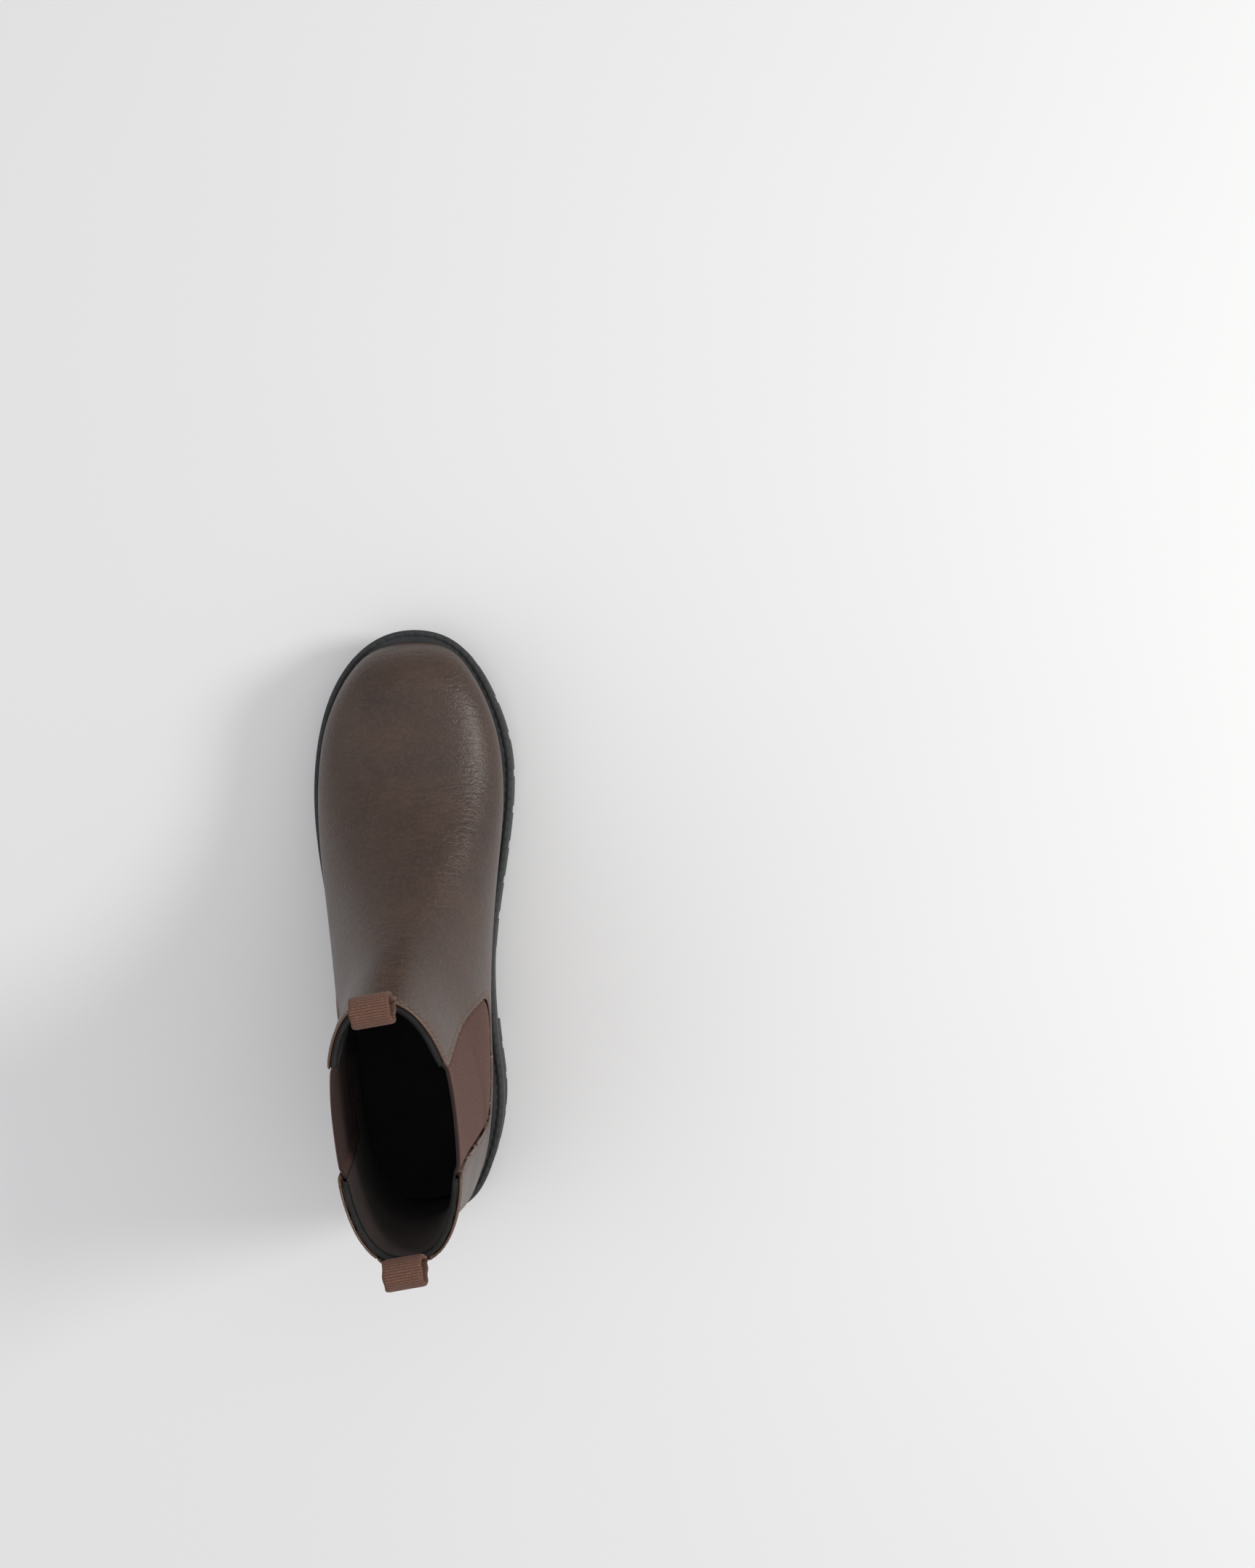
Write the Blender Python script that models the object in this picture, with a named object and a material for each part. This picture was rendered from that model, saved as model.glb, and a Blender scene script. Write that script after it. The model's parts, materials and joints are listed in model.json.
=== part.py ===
"""A left-foot chelsea boot: moulded lug sole, leather upper in four panels, two elastic gores, two pull loops.

Run with: blender --background --python part.py
Frame: +Y to the toe, +X to the medial (inner) side, +Z up, origin under the middle of the sole at the ground.
"""

import math

import bmesh
import bpy
import numpy as np

MM = 0.001
GAP = 0.3 * MM  # clearance between neighbouring pieces

# Thickness of each layer of the upper, from the outside in.
LEATHER = 1.6 * MM
STIFFENER = 1.0 * MM
LINING = 1.0 * MM
ELASTIC = 1.5 * MM
GORE_RECESS = 0.7 * MM  # the elastic lies this far below the leather's face
STIFFENER_DEPTH = LEATHER + GAP
LINING_DEPTH = STIFFENER_DEPTH + STIFFENER + GAP

# Sole unit.
SOLE_HALF_LENGTH = 150.0 * MM
WELT_THICK = 3.0 * MM
WELT_WIDTH = 13.0 * MM
HEEL_FRONT_Y = -54.5 * MM
HEEL_TOP_Z = 11.4 * MM
LUG_GROOVE_WIDTH = 3.2 * MM
TREAD_DEPTH = 5.6 * MM
HEEL_TREAD_DEPTH = 3.0 * MM
TREAD_BACK_Y = -17.6 * MM
FORE_GROOVE_START = 0.5 * MM
FORE_GROOVE_PITCH = 18.6 * MM
FORE_GROOVES = 8
HEEL_GROOVE_START = -136.6 * MM
HEEL_GROOVE_PITCH = 17.0 * MM
HEEL_GROOVES = 5
SIDE_LUG_SHARE = 0.48  # share of the half width that the side lugs take

# Seams in the side view.
SEAM_TOP = (-65.8 * MM, 53.3 * MM)
SEAM_FOOT_Y = -64.6 * MM
BACK_TOPLINE_Z = 154.4 * MM

# Pull loops: a ribbon folded into a teardrop, standing on the collar.
LOOP_WIDTH = 17.4 * MM
LOOP_BASE_R = 1.3 * MM
LOOP_END_R = 7.0 * MM
LOOP_REACH = 11.0 * MM
LOOP_YAW = math.radians(8)
RIBBON = 1.2 * MM
FRONT_LOOP = {"x": 0.2 * MM, "pivot": (-23.4 * MM, 174.9 * MM), "lean": 4.0}
BACK_LOOP = {"x": 7.6 * MM, "pivot": (-139.0 * MM, 156.6 * MM), "lean": 5.0}

# The upper's form, in millimetres. Each row is one section, from the toe's tip over the instep to the collar:
# its upper end (y, z) on the front profile, its lower end (y, z) on the feather line or up the back of the heel,
# its greatest half width, its half width at the lower end, the lower end's shift to the medial side,
# and the share of the way up at which it is widest.
SECTIONS = (
    ((143.5, 30.7), (143.5, 30.7), 0.0, 0.0, 2.2, 0.30),
    ((141.9, 38.2), (141.6, 30.2), 13.0, 12.6, 1.9, 0.30),
    ((137.3, 46.2), (137.0, 29.5), 22.3, 21.2, 1.0, 0.30),
    ((128.5, 53.4), (128.3, 28.3), 30.2, 28.0, 0.0, 0.30),
    ((115.0, 56.8), (115.0, 26.4), 37.8, 34.8, -1.0, 0.30),
    ((98.0, 57.5), (98.0, 23.7), 43.8, 41.0, -1.8, 0.30),
    ((79.0, 59.4), (78.0, 21.6), 46.9, 44.3, -2.4, 0.27),
    ((60.0, 65.6), (55.0, 20.4), 47.3, 44.8, -3.2, 0.23),
    ((43.5, 75.1), (29.0, 20.0), 45.4, 42.6, -4.2, 0.21),
    ((29.0, 85.0), (0.0, 20.2), 42.6, 39.4, -4.6, 0.21),
    ((17.0, 95.6), (-32.0, 23.4), 40.0, 36.6, -4.0, 0.23),
    ((8.0, 105.0), (-66.0, 25.8), 38.3, 35.0, -2.6, 0.28),
    ((1.0, 113.8), (-98.0, 26.8), 37.3, 34.3, -1.0, 0.34),
    ((-3.2, 120.5), (-121.0, 27.1), 36.3, 29.0, -0.2, 0.38),
    ((-6.4, 126.8), (-137.5, 27.3), 35.3, 20.5, 0.2, 0.41),
    ((-9.0, 132.6), (-145.0, 27.5), 34.4, 10.0, 0.5, 0.43),
    ((-11.4, 138.8), (-147.0, 28.5), 33.4, 0.0, 0.8, 0.45),
    ((-13.8, 145.8), (-147.7, 45.0), 32.3, 0.0, 1.1, 0.47),
    ((-16.0, 153.0), (-145.5, 67.0), 31.2, 0.0, 1.4, 0.48),
    ((-18.0, 160.0), (-141.7, 88.0), 30.2, 0.0, 1.7, 0.50),
    ((-19.8, 167.0), (-139.2, 109.0), 29.2, 0.0, 2.0, 0.50),
    ((-21.4, 173.6), (-139.3, 131.0), 28.5, 0.0, 2.2, 0.50),
    ((-22.9, 180.0), (-141.2, 154.0), 28.2, 0.0, 2.3, 0.50),
    ((-24.3, 186.5), (-143.0, 172.0), 28.1, 0.0, 2.4, 0.50),
)
HEEL_SECTION = 16  # from this one on, the two sides meet down the back of the heel
SIDE_SHIFT = 1.7 * MM  # puts the middle of the sole's width on the origin
RIDGE_SHIFT = 2.2 * MM  # the instep's ridge and the collar stand this far to the medial side
COLLAR_MIDDLE = (3.9 * MM, -81.0 * MM)
TWIST = math.radians(4)  # the collar is turned this much about the vertical, toe side to the lateral
TWIST_START_Z = 60 * MM
TWIST_END_Z = 165 * MM
FULLNESS = 2.25  # exponent of the superellipse over each section's top
LOW_FULLNESS = ((12, 17), (2.0, 2.5))  # the same for its lower part: (sections, exponents)

# The sole's outline from above, and its levels along the boot, in millimetres.
SOLE_OUTLINE = (
    (3, 150), (27, 140.5), (43.5, 112), (50, 77), (45, 32), (37.5, -18), (38.5, -66), (39.5, -100), (26, -139.5),
    (0, -150), (-26, -139.5), (-38.8, -100), (-40.5, -64), (-45.6, -12), (-52.2, 38), (-52.3, 80), (-42, 118),
    (-21.5, 143),
)
FEATHER_LEVEL = (
    (-150, 27.5), (-100, 26.8), (-66, 25.8), (-37, 24), (-17, 22), (2, 20.3), (23, 19.9), (43, 20), (64, 20.7),
    (84, 22), (101, 24.2), (118, 26.9), (135, 29.6), (150, 31),
)
MIDSOLE_FOOT = (
    (-150, 16), (-100, 15.8), (-54, 15), (-18, 13), (10, 12.6), (38, 13.6), (57, 14.1), (77, 15.5), (98.6, 17.4),
    (118, 19.4), (150, 22.4),
)
OUTSOLE_FOOT = (
    (-150, 11.7), (-54, 11.7), (-40, 10.6), (-24, 9.4), (-18, 8.4), (-14, 6), (-3, 3.9), (10, 2.2), (23, 1),
    (38, 0.1), (44, 0), (50, 0), (68, 1.2), (89, 3.8), (107.5, 7.8), (129.5, 12.5), (143, 15), (150, 16.8),
)

# The elastic's outline in the side view: corners (y, z) and the radius of each, in millimetres.
GORE = (
    (-100.7, 149.8, 0), (-99.2, 53.3, 19), (-32.5, 53.3, 20), (-36.9, 92, 120), (-53.1, 153.2, 0),
)
FRONT_FLAP_CORNER = (-54.6, 160.2, 8)
FRONT_TOPLINE_END = (8.0, 184.5)
BACK_FLAP_CORNER = (-100.9, 154.4, 6)
# The backstay's half width up the heel: (z, half width), and how far its middle stands to the medial side.
BACKSTAY_HALF_WIDTH = (
    (15, 30), (28, 27.5), (40, 24), (52, 21.5), (64, 20), (80, 19), (92, 18.2), (107, 16.6), (121, 14.6),
    (136, 12.6), (155, 11), (175, 10),
)
BACKSTAY_X = 5.0 * MM
BACKSTAY_FRONT_Y = -105 * MM  # no part of the backstay lies before this

SECTION_ROWS = 37
SECTION_COLUMNS = 12  # on each side of the ridge
FAR = 0.3  # past every part of the boot

COLOURS = {
    "leather": ((0.085, 0.050, 0.036), 0.42),
    "elastic": ((0.120, 0.060, 0.050), 0.90),
    "ribbon": ((0.130, 0.062, 0.042), 0.85),
    "rubber": ((0.035, 0.037, 0.038), 0.75),
    "black_textile": ((0.012, 0.012, 0.013), 0.95),
    "brown_lining": ((0.050, 0.030, 0.022), 0.90),
    "board": ((0.450, 0.330, 0.200), 0.90),
    "foam": ((0.500, 0.480, 0.420), 0.95),
    "cork": ((0.480, 0.300, 0.150), 0.95),
    "thermoplastic": ((0.650, 0.620, 0.550), 0.60),
    "steel": ((0.560, 0.570, 0.580), 0.35),
}


# ---------------------------------------------------------------- curves and functions


def spline(values, at, start_slope=None):
    """A cubic spline through evenly spaced values, natural at its ends, read at the places in at."""
    values = np.asarray(values, float)
    count = len(values)
    system = np.zeros((count, count))
    right = np.zeros(count)
    for row in range(1, count - 1):
        system[row, row - 1 : row + 2] = (1, 4, 1)
        right[row] = 6 * (values[row - 1] - 2 * values[row] + values[row + 1])
    system[0, 0] = system[-1, -1] = 1
    if start_slope is not None:
        system[0, :2] = (2, 1)
        right[0] = 6 * (values[1] - values[0] - start_slope)
    bend = np.linalg.solve(system, right)
    at = np.asarray(at, float)
    low = np.clip(np.floor(at).astype(int), 0, count - 2)
    part = at - low
    rest = 1 - part
    straight = values[low] * rest + values[low + 1] * part
    return straight + ((rest**3 - rest) * bend[low] + (part**3 - part) * bend[low + 1]) / 6


def level(knots):
    """A height along the boot from (y, z) knots in millimetres, as a function of y in metres."""
    ys, zs = np.array(knots, float).T * MM

    def height(y):
        slopes = np.gradient(zs, ys)
        place = np.clip(np.searchsorted(ys, y) - 1, 0, len(ys) - 2)
        span = ys[place + 1] - ys[place]
        part = np.clip((y - ys[place]) / span, 0, 1)
        square, cube = part**2, part**3
        return (
            (2 * cube - 3 * square + 1) * zs[place]
            + (cube - 2 * square + part) * span * slopes[place]
            + (3 * square - 2 * cube) * zs[place + 1]
            + (cube - square) * span * slopes[place + 1]
        )

    return height


feather = level(FEATHER_LEVEL)
midsole_foot = level(MIDSOLE_FOOT)
outsole_curve = level(OUTSOLE_FOOT)


def outsole_foot(y):
    return np.maximum(outsole_curve(y), 0)


def rounded(corners, arc_step=math.radians(12)):
    """A polyline in metres through millimetre corners (a, b, radius), with an arc at each rounded corner."""
    points = []
    for i, (a, b, radius) in enumerate(corners):
        corner = np.array((a, b)) * MM
        if not radius:
            points.append(corner)
            continue
        before = np.array(corners[i - 1][:2]) * MM - corner
        after = np.array(corners[(i + 1) % len(corners)][:2]) * MM - corner
        before /= np.linalg.norm(before)
        after /= np.linalg.norm(after)
        half = math.acos(np.clip(before @ after, -1, 1)) / 2
        radius = radius * MM
        middle = corner + (before + after) / np.linalg.norm(before + after) * radius / math.sin(half)
        start = corner + before * radius / math.tan(half) - middle
        end = corner + after * radius / math.tan(half) - middle
        turn = math.pi - 2 * half
        steps = max(2, math.ceil(turn / arc_step))
        for k in range(steps + 1):
            share = k * turn / steps
            points.append(middle + (start * math.sin(turn - share) + end * math.sin(share)) / math.sin(turn))
    return np.array(points)


def inset(outline, distance):
    """A closed outline moved inwards by distance, whichever way it runs."""
    ahead = np.roll(outline, -1, 0) - outline
    ahead /= np.linalg.norm(ahead, axis=1)[:, None]
    behind = np.roll(ahead, 1, 0)
    area = np.sum(outline[:, 0] * np.roll(outline[:, 1], -1) - np.roll(outline[:, 0], -1) * outline[:, 1])
    side = math.copysign(1, area)
    normals = np.stack((-(ahead + behind)[:, 1], (ahead + behind)[:, 0]), 1)
    normals /= np.linalg.norm(normals, axis=1)[:, None]
    stretch = np.sqrt(np.maximum((1 + np.sum(ahead * behind, 1)) / 2, 0.3))
    return outline + side * normals * (distance / stretch)[:, None]


def closed_spline(points, steps):
    """A smooth closed curve through the points, in millimetres, as steps points in metres."""
    ring = np.array(points, float)
    count = len(ring)
    padded = np.vstack((ring[-4:], ring, ring[:5]))
    at = 4 + np.arange(steps) * count / steps
    curve = np.stack([spline(padded[:, k], at) for k in (0, 1)], 1) * MM
    return curve + (SIDE_SHIFT, 0)


# ---------------------------------------------------------------- the upper's form


def section_values(at):
    """Every measure of the upper's sections at the places in at, in metres."""
    top = np.array([row[0] for row in SECTIONS])
    low = np.array([row[1] for row in SECTIONS])
    rest = np.array([row[2:] for row in SECTIONS])
    return {
        "top": np.stack((spline(top[:, 0], at, 0), spline(top[:, 1], at)), 1) * MM,
        "low": np.stack((spline(low[:, 0], at, 0), spline(low[:, 1], at)), 1) * MM,
        "half": spline(rest[:, 0], at) * MM,
        "low_half": np.where(at < HEEL_SECTION - 0.5, np.maximum(spline(rest[:, 1], at), 0), 0) * MM,
        "shift": spline(rest[:, 2], at) * MM,
        "widest": spline(rest[:, 3], at),
    }


def upper_grid(rows, columns):
    """Points of the upper's outer face: rows from the toe to above the collar, each from the lateral foot."""
    at = np.linspace(0, len(SECTIONS) - 1, rows)
    form = section_values(at)
    low_columns = columns // 3
    rise = np.linspace(0, math.pi / 2, low_columns + 1)[:-1]
    arch = np.linspace(0, math.pi / 2, columns - low_columns + 1)
    grid = np.zeros((rows, 2 * columns + 1, 3))
    for r in range(rows):
        half, widest = form["half"][r], form["widest"][r]
        low_fullness = np.interp(at[r], *LOW_FULLNESS)
        tuck = 1 - (form["low_half"][r] / half) ** low_fullness if half > 1e-6 else 1
        up = np.concatenate((
            widest * (1 - np.cos(rise) ** (2 / low_fullness)),
            widest + (1 - widest) * np.sin(arch) ** (2 / FULLNESS),
        ))
        out = np.concatenate((
            half * np.maximum(1 - tuck * np.cos(rise) ** 2, 0) ** (1 / low_fullness),
            half * np.maximum(np.cos(arch), 0) ** (2 / FULLNESS),
        ))
        middle = form["shift"][r] * (1 - up) + RIDGE_SHIFT * up + SIDE_SHIFT
        side_view = form["low"][r] + np.outer(up, form["top"][r] - form["low"][r])
        for c in range(columns + 1):
            grid[r, c] = (middle[c] - out[c], *side_view[c])
            grid[r, -1 - c] = (middle[c] + out[c], *side_view[c])
    return twisted(grid)


def twisted(grid):
    """The upper's points with the shaft turned a little about the vertical, more towards the collar."""
    x, y, z = np.moveaxis(grid, -1, 0)
    share = np.clip((z - TWIST_START_Z) / (TWIST_END_Z - TWIST_START_Z), 0, 1)
    turn = TWIST * share**2 * (3 - 2 * share)
    across, along = x - COLLAR_MIDDLE[0], y - COLLAR_MIDDLE[1]
    return np.stack((
        COLLAR_MIDDLE[0] + across * np.cos(turn) - along * np.sin(turn),
        COLLAR_MIDDLE[1] + across * np.sin(turn) + along * np.cos(turn),
        z,
    ), -1)


def add_mesh(name, vertices, faces):
    mesh = bpy.data.meshes.new(name)
    mesh.from_pydata([tuple(v) for v in vertices], [], faces)
    body = bpy.data.objects.new(name, mesh)
    parts.objects.link(body)
    return body


def seam_row(grid):
    """The first row whose two ends meet, at the foot of the heel."""
    apart = np.linalg.norm(grid[:, 0] - grid[:, -1], axis=1)
    return next(r for r in range(1, len(grid)) if apart[r] < 0.01 * MM)


def outward_normals(grid):
    """The unit normals of the upper's face at every point of its grid."""
    along = np.gradient(grid, axis=0)
    across = np.gradient(grid, axis=1)
    heel = seam_row(grid)
    across[heel:, 0] = across[heel:, -1] = grid[heel:, 1] - grid[heel:, -2]
    normals = np.cross(across, along)
    normals[0] = (0, 1, 0)
    normals /= np.linalg.norm(normals, axis=2)[:, :, None]
    middle = normals[len(grid) // 2, grid.shape[1] // 2]
    normals[1:] *= math.copysign(1, middle[2])
    return normals


def shell(name, depth, thickness):
    """A closed shell under the upper's outer face: its outer side at depth, and thickness to its inner side."""
    grid = upper_grid(SECTION_ROWS, SECTION_COLUMNS)
    normals = outward_normals(grid)
    rows, columns = grid.shape[:2]
    heel = seam_row(grid)
    vertices = np.concatenate([(grid - normals * d).reshape(-1, 3) for d in (depth, depth + thickness)])
    inner = rows * columns
    faces = []
    for r in range(rows - 1):
        for c in range(columns - 1):
            a, b = r * columns + c, r * columns + c + 1
            d, e = a + columns, b + columns
            halves = ((a, d, e), (a, e, b)) if c < columns // 2 else ((a, d, b), (b, d, e))
            for half in halves:
                faces.append(half)
                faces.append(tuple(inner + k for k in reversed(half)))
        if r < heel:
            for a in (r * columns, r * columns + columns - 1):
                faces.append((a, a + columns, a + columns + inner, a + inner))
    for a in range((rows - 1) * columns, rows * columns - 1):
        faces.append((a, a + 1, a + 1 + inner, a + inner))
    body = add_mesh(name, vertices, faces)
    edit = bmesh.new()
    edit.from_mesh(body.data)
    bmesh.ops.remove_doubles(edit, verts=edit.verts, dist=0.02 * MM)
    bmesh.ops.dissolve_degenerate(edit, edges=edit.edges, dist=0.01 * MM)
    bmesh.ops.recalc_face_normals(edit, faces=edit.faces)
    edit.to_mesh(body.data)
    edit.free()
    return body


# ---------------------------------------------------------------- cutters and panels


def prism(name, outline, low_x=-FAR, high_x=FAR):
    """A solid whose section in the side view (y, z) is the outline, from low_x to high_x."""
    edit = bmesh.new()
    ring = [edit.verts.new((low_x, y, z)) for y, z in outline]
    face = edit.faces.new(ring)
    moved = bmesh.ops.extrude_face_region(edit, geom=[face])["geom"]
    for item in moved:
        if isinstance(item, bmesh.types.BMVert):
            item.co.x = high_x
    bmesh.ops.recalc_face_normals(edit, faces=edit.faces)
    mesh = bpy.data.meshes.new(name)
    edit.to_mesh(mesh)
    edit.free()
    return as_cutter(bpy.data.objects.new(name, mesh))


def as_cutter(body):
    for collection in list(body.users_collection):
        collection.objects.unlink(body)
    cutters.objects.link(body)
    body.hide_render = True
    body.display_type = "WIRE"
    return body


def boolean(body, cutter, operation):
    step = body.modifiers.new(operation.lower(), "BOOLEAN")
    step.operation = operation
    step.object = cutter
    step.solver = "EXACT"


def feather_edge(from_y, to_y, clearance, steps=24):
    """The line on which the upper stands on the welt, in the side view."""
    ys = np.linspace(from_y, to_y, steps)
    return np.stack((ys, feather(ys) + clearance), 1)


def gore_outline(clearance):
    return inset(rounded(GORE), clearance)


def vamp_outline(clearance):
    """The front panel: the whole of the upper before the side seam and the elastic."""
    corners = [
        (*FRONT_TOPLINE_END, 0),
        FRONT_FLAP_CORNER,
        GORE[3],
        GORE[2],
        (SEAM_TOP[0] / MM, SEAM_TOP[1] / MM, 0),
    ]
    edge = rounded(corners)
    foot = feather_edge(SEAM_FOOT_Y, FAR, GAP - clearance)
    return inset(np.vstack((edge, foot, [(FAR, FRONT_TOPLINE_END[1] * MM)])), clearance)


def quarter_outline(clearance):
    """The panels behind the side seam and the elastic, right round the back."""
    edge = rounded([
        (SEAM_TOP[0] / MM, SEAM_TOP[1] / MM, 0),
        GORE[1],
        BACK_FLAP_CORNER,
        (-FAR / MM, BACK_TOPLINE_Z / MM, 0),
    ])
    foot = feather_edge(-SOLE_HALF_LENGTH, SEAM_FOOT_Y, GAP - clearance)
    return inset(np.vstack((edge, [(-FAR, foot[0][1])], foot)), clearance)


def backstay_outline(clearance, low_z, high_z, steps=20):
    """The backstay seen from behind (x, z): between its two seams, from low_z to high_z."""
    zs, halves = np.array(BACKSTAY_HALF_WIDTH, float).T * MM
    line_z = np.linspace(low_z, high_z, steps)
    half = np.interp(line_z, zs, halves) - clearance
    right = np.stack((BACKSTAY_X + half, line_z), 1)
    left = np.stack((BACKSTAY_X - half, line_z), 1)
    return np.vstack((right, left[::-1]))


def back_prism(name, outline):
    """A solid whose section from behind (x, z) is the outline, over the back of the heel."""
    body = prism(name, outline, -FAR, BACKSTAY_FRONT_Y)
    for vertex in body.data.vertices:
        y, x, z = vertex.co
        vertex.co = (x, y, z)
    body.data.flip_normals()
    return body


def panel(name, depth, thickness, outline, side=None):
    """One panel of the upper: a shell cut to the outline, on both sides or only on the lateral or medial one."""
    body = shell(name, depth, thickness)
    spans = {None: (-FAR, FAR), "lateral": (-FAR, -GAP), "medial": (GAP, FAR)}
    boolean(body, prism(f"{name}_cutter", outline, *spans[side]), "INTERSECT")
    return body


# ---------------------------------------------------------------- the sole


sole_ring = None


def sole_sides(clearance):
    """The lateral and medial x of the sole's outline, moved in by clearance, as functions of y, and the ends of y."""
    ring = inset(sole_ring, clearance)
    front, back = ring[:, 1].argmax(), ring[:, 1].argmin()
    order = np.roll(np.arange(len(ring)), -front)
    split = int(np.where(order == back)[0][0])
    medial = ring[order[: split + 1]]
    lateral = np.vstack((ring[order[split:]], ring[order[:1]]))
    if medial[:, 0].mean() < lateral[:, 0].mean():
        medial, lateral = lateral[::-1], medial[::-1]
    medial = medial[medial[:, 1].argsort()]
    lateral = lateral[lateral[:, 1].argsort()]
    return (
        lambda y: np.interp(y, lateral[:, 1], lateral[:, 0]),
        lambda y: np.interp(y, medial[:, 1], medial[:, 0]),
        ring[back, 1],
        ring[front, 1],
    )


def stations(low, high, steps, round_low=True, round_high=True):
    """Places from low to high, closer together at an end where the outline is round."""
    share = np.linspace(0, 1, steps)
    if round_low and round_high:
        share = (1 - np.cos(share * math.pi)) / 2
    elif round_low:
        share = 1 - np.cos(share * math.pi / 2)
    elif round_high:
        share = np.sin(share * math.pi / 2)
    return low + (high - low) * share


def slab(name, clearance, low, high, from_y=None, to_y=None, steps=40):
    """A layer of the sole: the outline moved in by clearance, between two levels that are functions of y."""
    lateral, medial, back, front = sole_sides(clearance)
    start = back if from_y is None else from_y
    end = front if to_y is None else to_y
    ys = stations(start, end, steps, from_y is None, to_y is None)
    inner = 0.02 * MM
    if from_y is None:
        ys[0] += inner
    if to_y is None:
        ys[-1] -= inner
    vertices = []
    for y in ys:
        left, right = float(lateral(y)), float(medial(y))
        if right - left < 2 * MM:
            middle = (left + right) / 2
            left, right = middle - MM, middle + MM
        foot, head = float(low(y)), float(high(y))
        vertices += [(left, y, foot), (right, y, foot), (right, y, head), (left, y, head)]
    return loft(name, vertices, 4)


def loft(name, vertices, sides):
    """A solid through rings of the same number of corners, closed at both ends."""
    rings = len(vertices) // sides
    faces = [
        (r * sides + k, (r + 1) * sides + k, (r + 1) * sides + (k + 1) % sides, r * sides + (k + 1) % sides)
        for r in range(rings - 1)
        for k in range(sides)
    ]
    faces.append(tuple(range(sides)))
    faces.append(tuple(range((rings - 1) * sides, rings * sides))[::-1])
    body = add_mesh(name, vertices, faces)
    edit = bmesh.new()
    edit.from_mesh(body.data)
    bmesh.ops.recalc_face_normals(edit, faces=edit.faces)
    edit.to_mesh(body.data)
    edit.free()
    return body


def ring_strip(name, outer_clearance, width, low, high):
    """A strip round the sole's edge, open in the middle."""
    outer = inset(sole_ring, outer_clearance)
    inner = inset(sole_ring, outer_clearance + width)
    count = len(outer)
    vertices = []
    for (ox, oy), (ix, iy) in zip(outer, inner):
        vertices += [
            (ox, oy, float(low(oy))), (ix, iy, float(low(iy))),
            (ix, iy, float(high(iy))), (ox, oy, float(high(oy))),
        ]
    faces = []
    for r in range(count):
        ahead = (r + 1) % count
        faces += [(r * 4 + k, ahead * 4 + k, ahead * 4 + (k + 1) % 4, r * 4 + (k + 1) % 4) for k in range(4)]
    body = add_mesh(name, vertices, faces)
    edit = bmesh.new()
    edit.from_mesh(body.data)
    bmesh.ops.recalc_face_normals(edit, faces=edit.faces)
    edit.to_mesh(body.data)
    edit.free()
    return body


def box(name, low, high):
    """A box between two corners."""
    bpy.ops.mesh.primitive_cube_add(size=1)
    body = bpy.context.object
    body.name = name
    body.location = [(a + b) / 2 for a, b in zip(low, high)]
    body.scale = [b - a for a, b in zip(low, high)]
    return body


def cut_grooves(body, places, depth, foot, first_y, last_y):
    """Cuts lugs in the underside: slots in from both edges, two long grooves, and bars between them."""
    lateral, medial, _, _ = sole_sides(0)
    group = bpy.data.collections.new(f"{body.name}_grooves")
    cutters.children.link(group)
    half_slot = LUG_GROOVE_WIDTH / 2
    made = []
    for i, y in enumerate(places):
        top = float(foot(y)) + depth
        for side, edge in (("lateral", lateral), ("medial", medial)):
            inner = float(edge(y)) * (1 - SIDE_LUG_SHARE)
            reach = (-FAR, inner) if side == "lateral" else (inner, FAR)
            low, high = (reach[0], y - half_slot, -FAR), (reach[1], y + half_slot, top)
            made.append(box(f"{body.name}_slot_{side}_{i}", low, high))
        between = y + (places[1] - places[0]) / 2
        if between < last_y - 6 * MM:
            top = float(foot(between)) + depth
            ends = [float(edge(between)) * (1 - SIDE_LUG_SHARE) for edge in (lateral, medial)]
            low, high = (ends[0], between - half_slot, -FAR), (ends[1], between + half_slot, top)
            made.append(box(f"{body.name}_bar_{i}", low, high))
    for side, edge in (("lateral", lateral), ("medial", medial)):
        vertices = []
        for y in np.linspace(first_y, last_y, 12):
            x = float(edge(y)) * (1 - SIDE_LUG_SHARE)
            top = float(foot(y)) + depth
            for dx, z in ((-half_slot, -FAR), (half_slot, -FAR), (half_slot, top), (-half_slot, top)):
                vertices.append((x + dx, y, z))
        made.append(loft(f"{body.name}_channel_{side}", vertices, 4))
    for cutter in made:
        for collection in list(cutter.users_collection):
            collection.objects.unlink(cutter)
        group.objects.link(cutter)
        cutter.hide_render = True
        cutter.display_type = "WIRE"
    step = body.modifiers.new("lugs", "BOOLEAN")
    step.operation = "DIFFERENCE"
    step.operand_type = "COLLECTION"
    step.collection = group
    step.solver = "EXACT"


def make_sole():
    """The moulded sole unit and what is glued inside it, from the ground up."""
    heel = slab("heel_block", 0, lambda y: 0 * y, lambda y: 0 * y + HEEL_TOP_Z, to_y=HEEL_FRONT_Y, steps=24)
    places = [HEEL_GROOVE_START + k * HEEL_GROOVE_PITCH for k in range(HEEL_GROOVES)]
    cut_grooves(heel, places, HEEL_TREAD_DEPTH, lambda y: 0 * y, -132 * MM, HEEL_FRONT_Y + 5 * MM)
    outsole = slab("outsole", 0, outsole_foot, lambda y: midsole_foot(y) - GAP, steps=56)
    places = [FORE_GROOVE_START + k * FORE_GROOVE_PITCH for k in range(FORE_GROOVES)]
    cut_grooves(outsole, places, TREAD_DEPTH, outsole_foot, TREAD_BACK_Y + 4 * MM, 128 * MM)
    midsole = slab("midsole", 0, midsole_foot, lambda y: feather(y) - WELT_THICK - GAP)
    welt = ring_strip("welt", 0, WELT_WIDTH, lambda y: feather(y) - WELT_THICK, feather)
    for body in (heel, outsole, midsole, welt):
        finish(body, "rubber")


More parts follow.
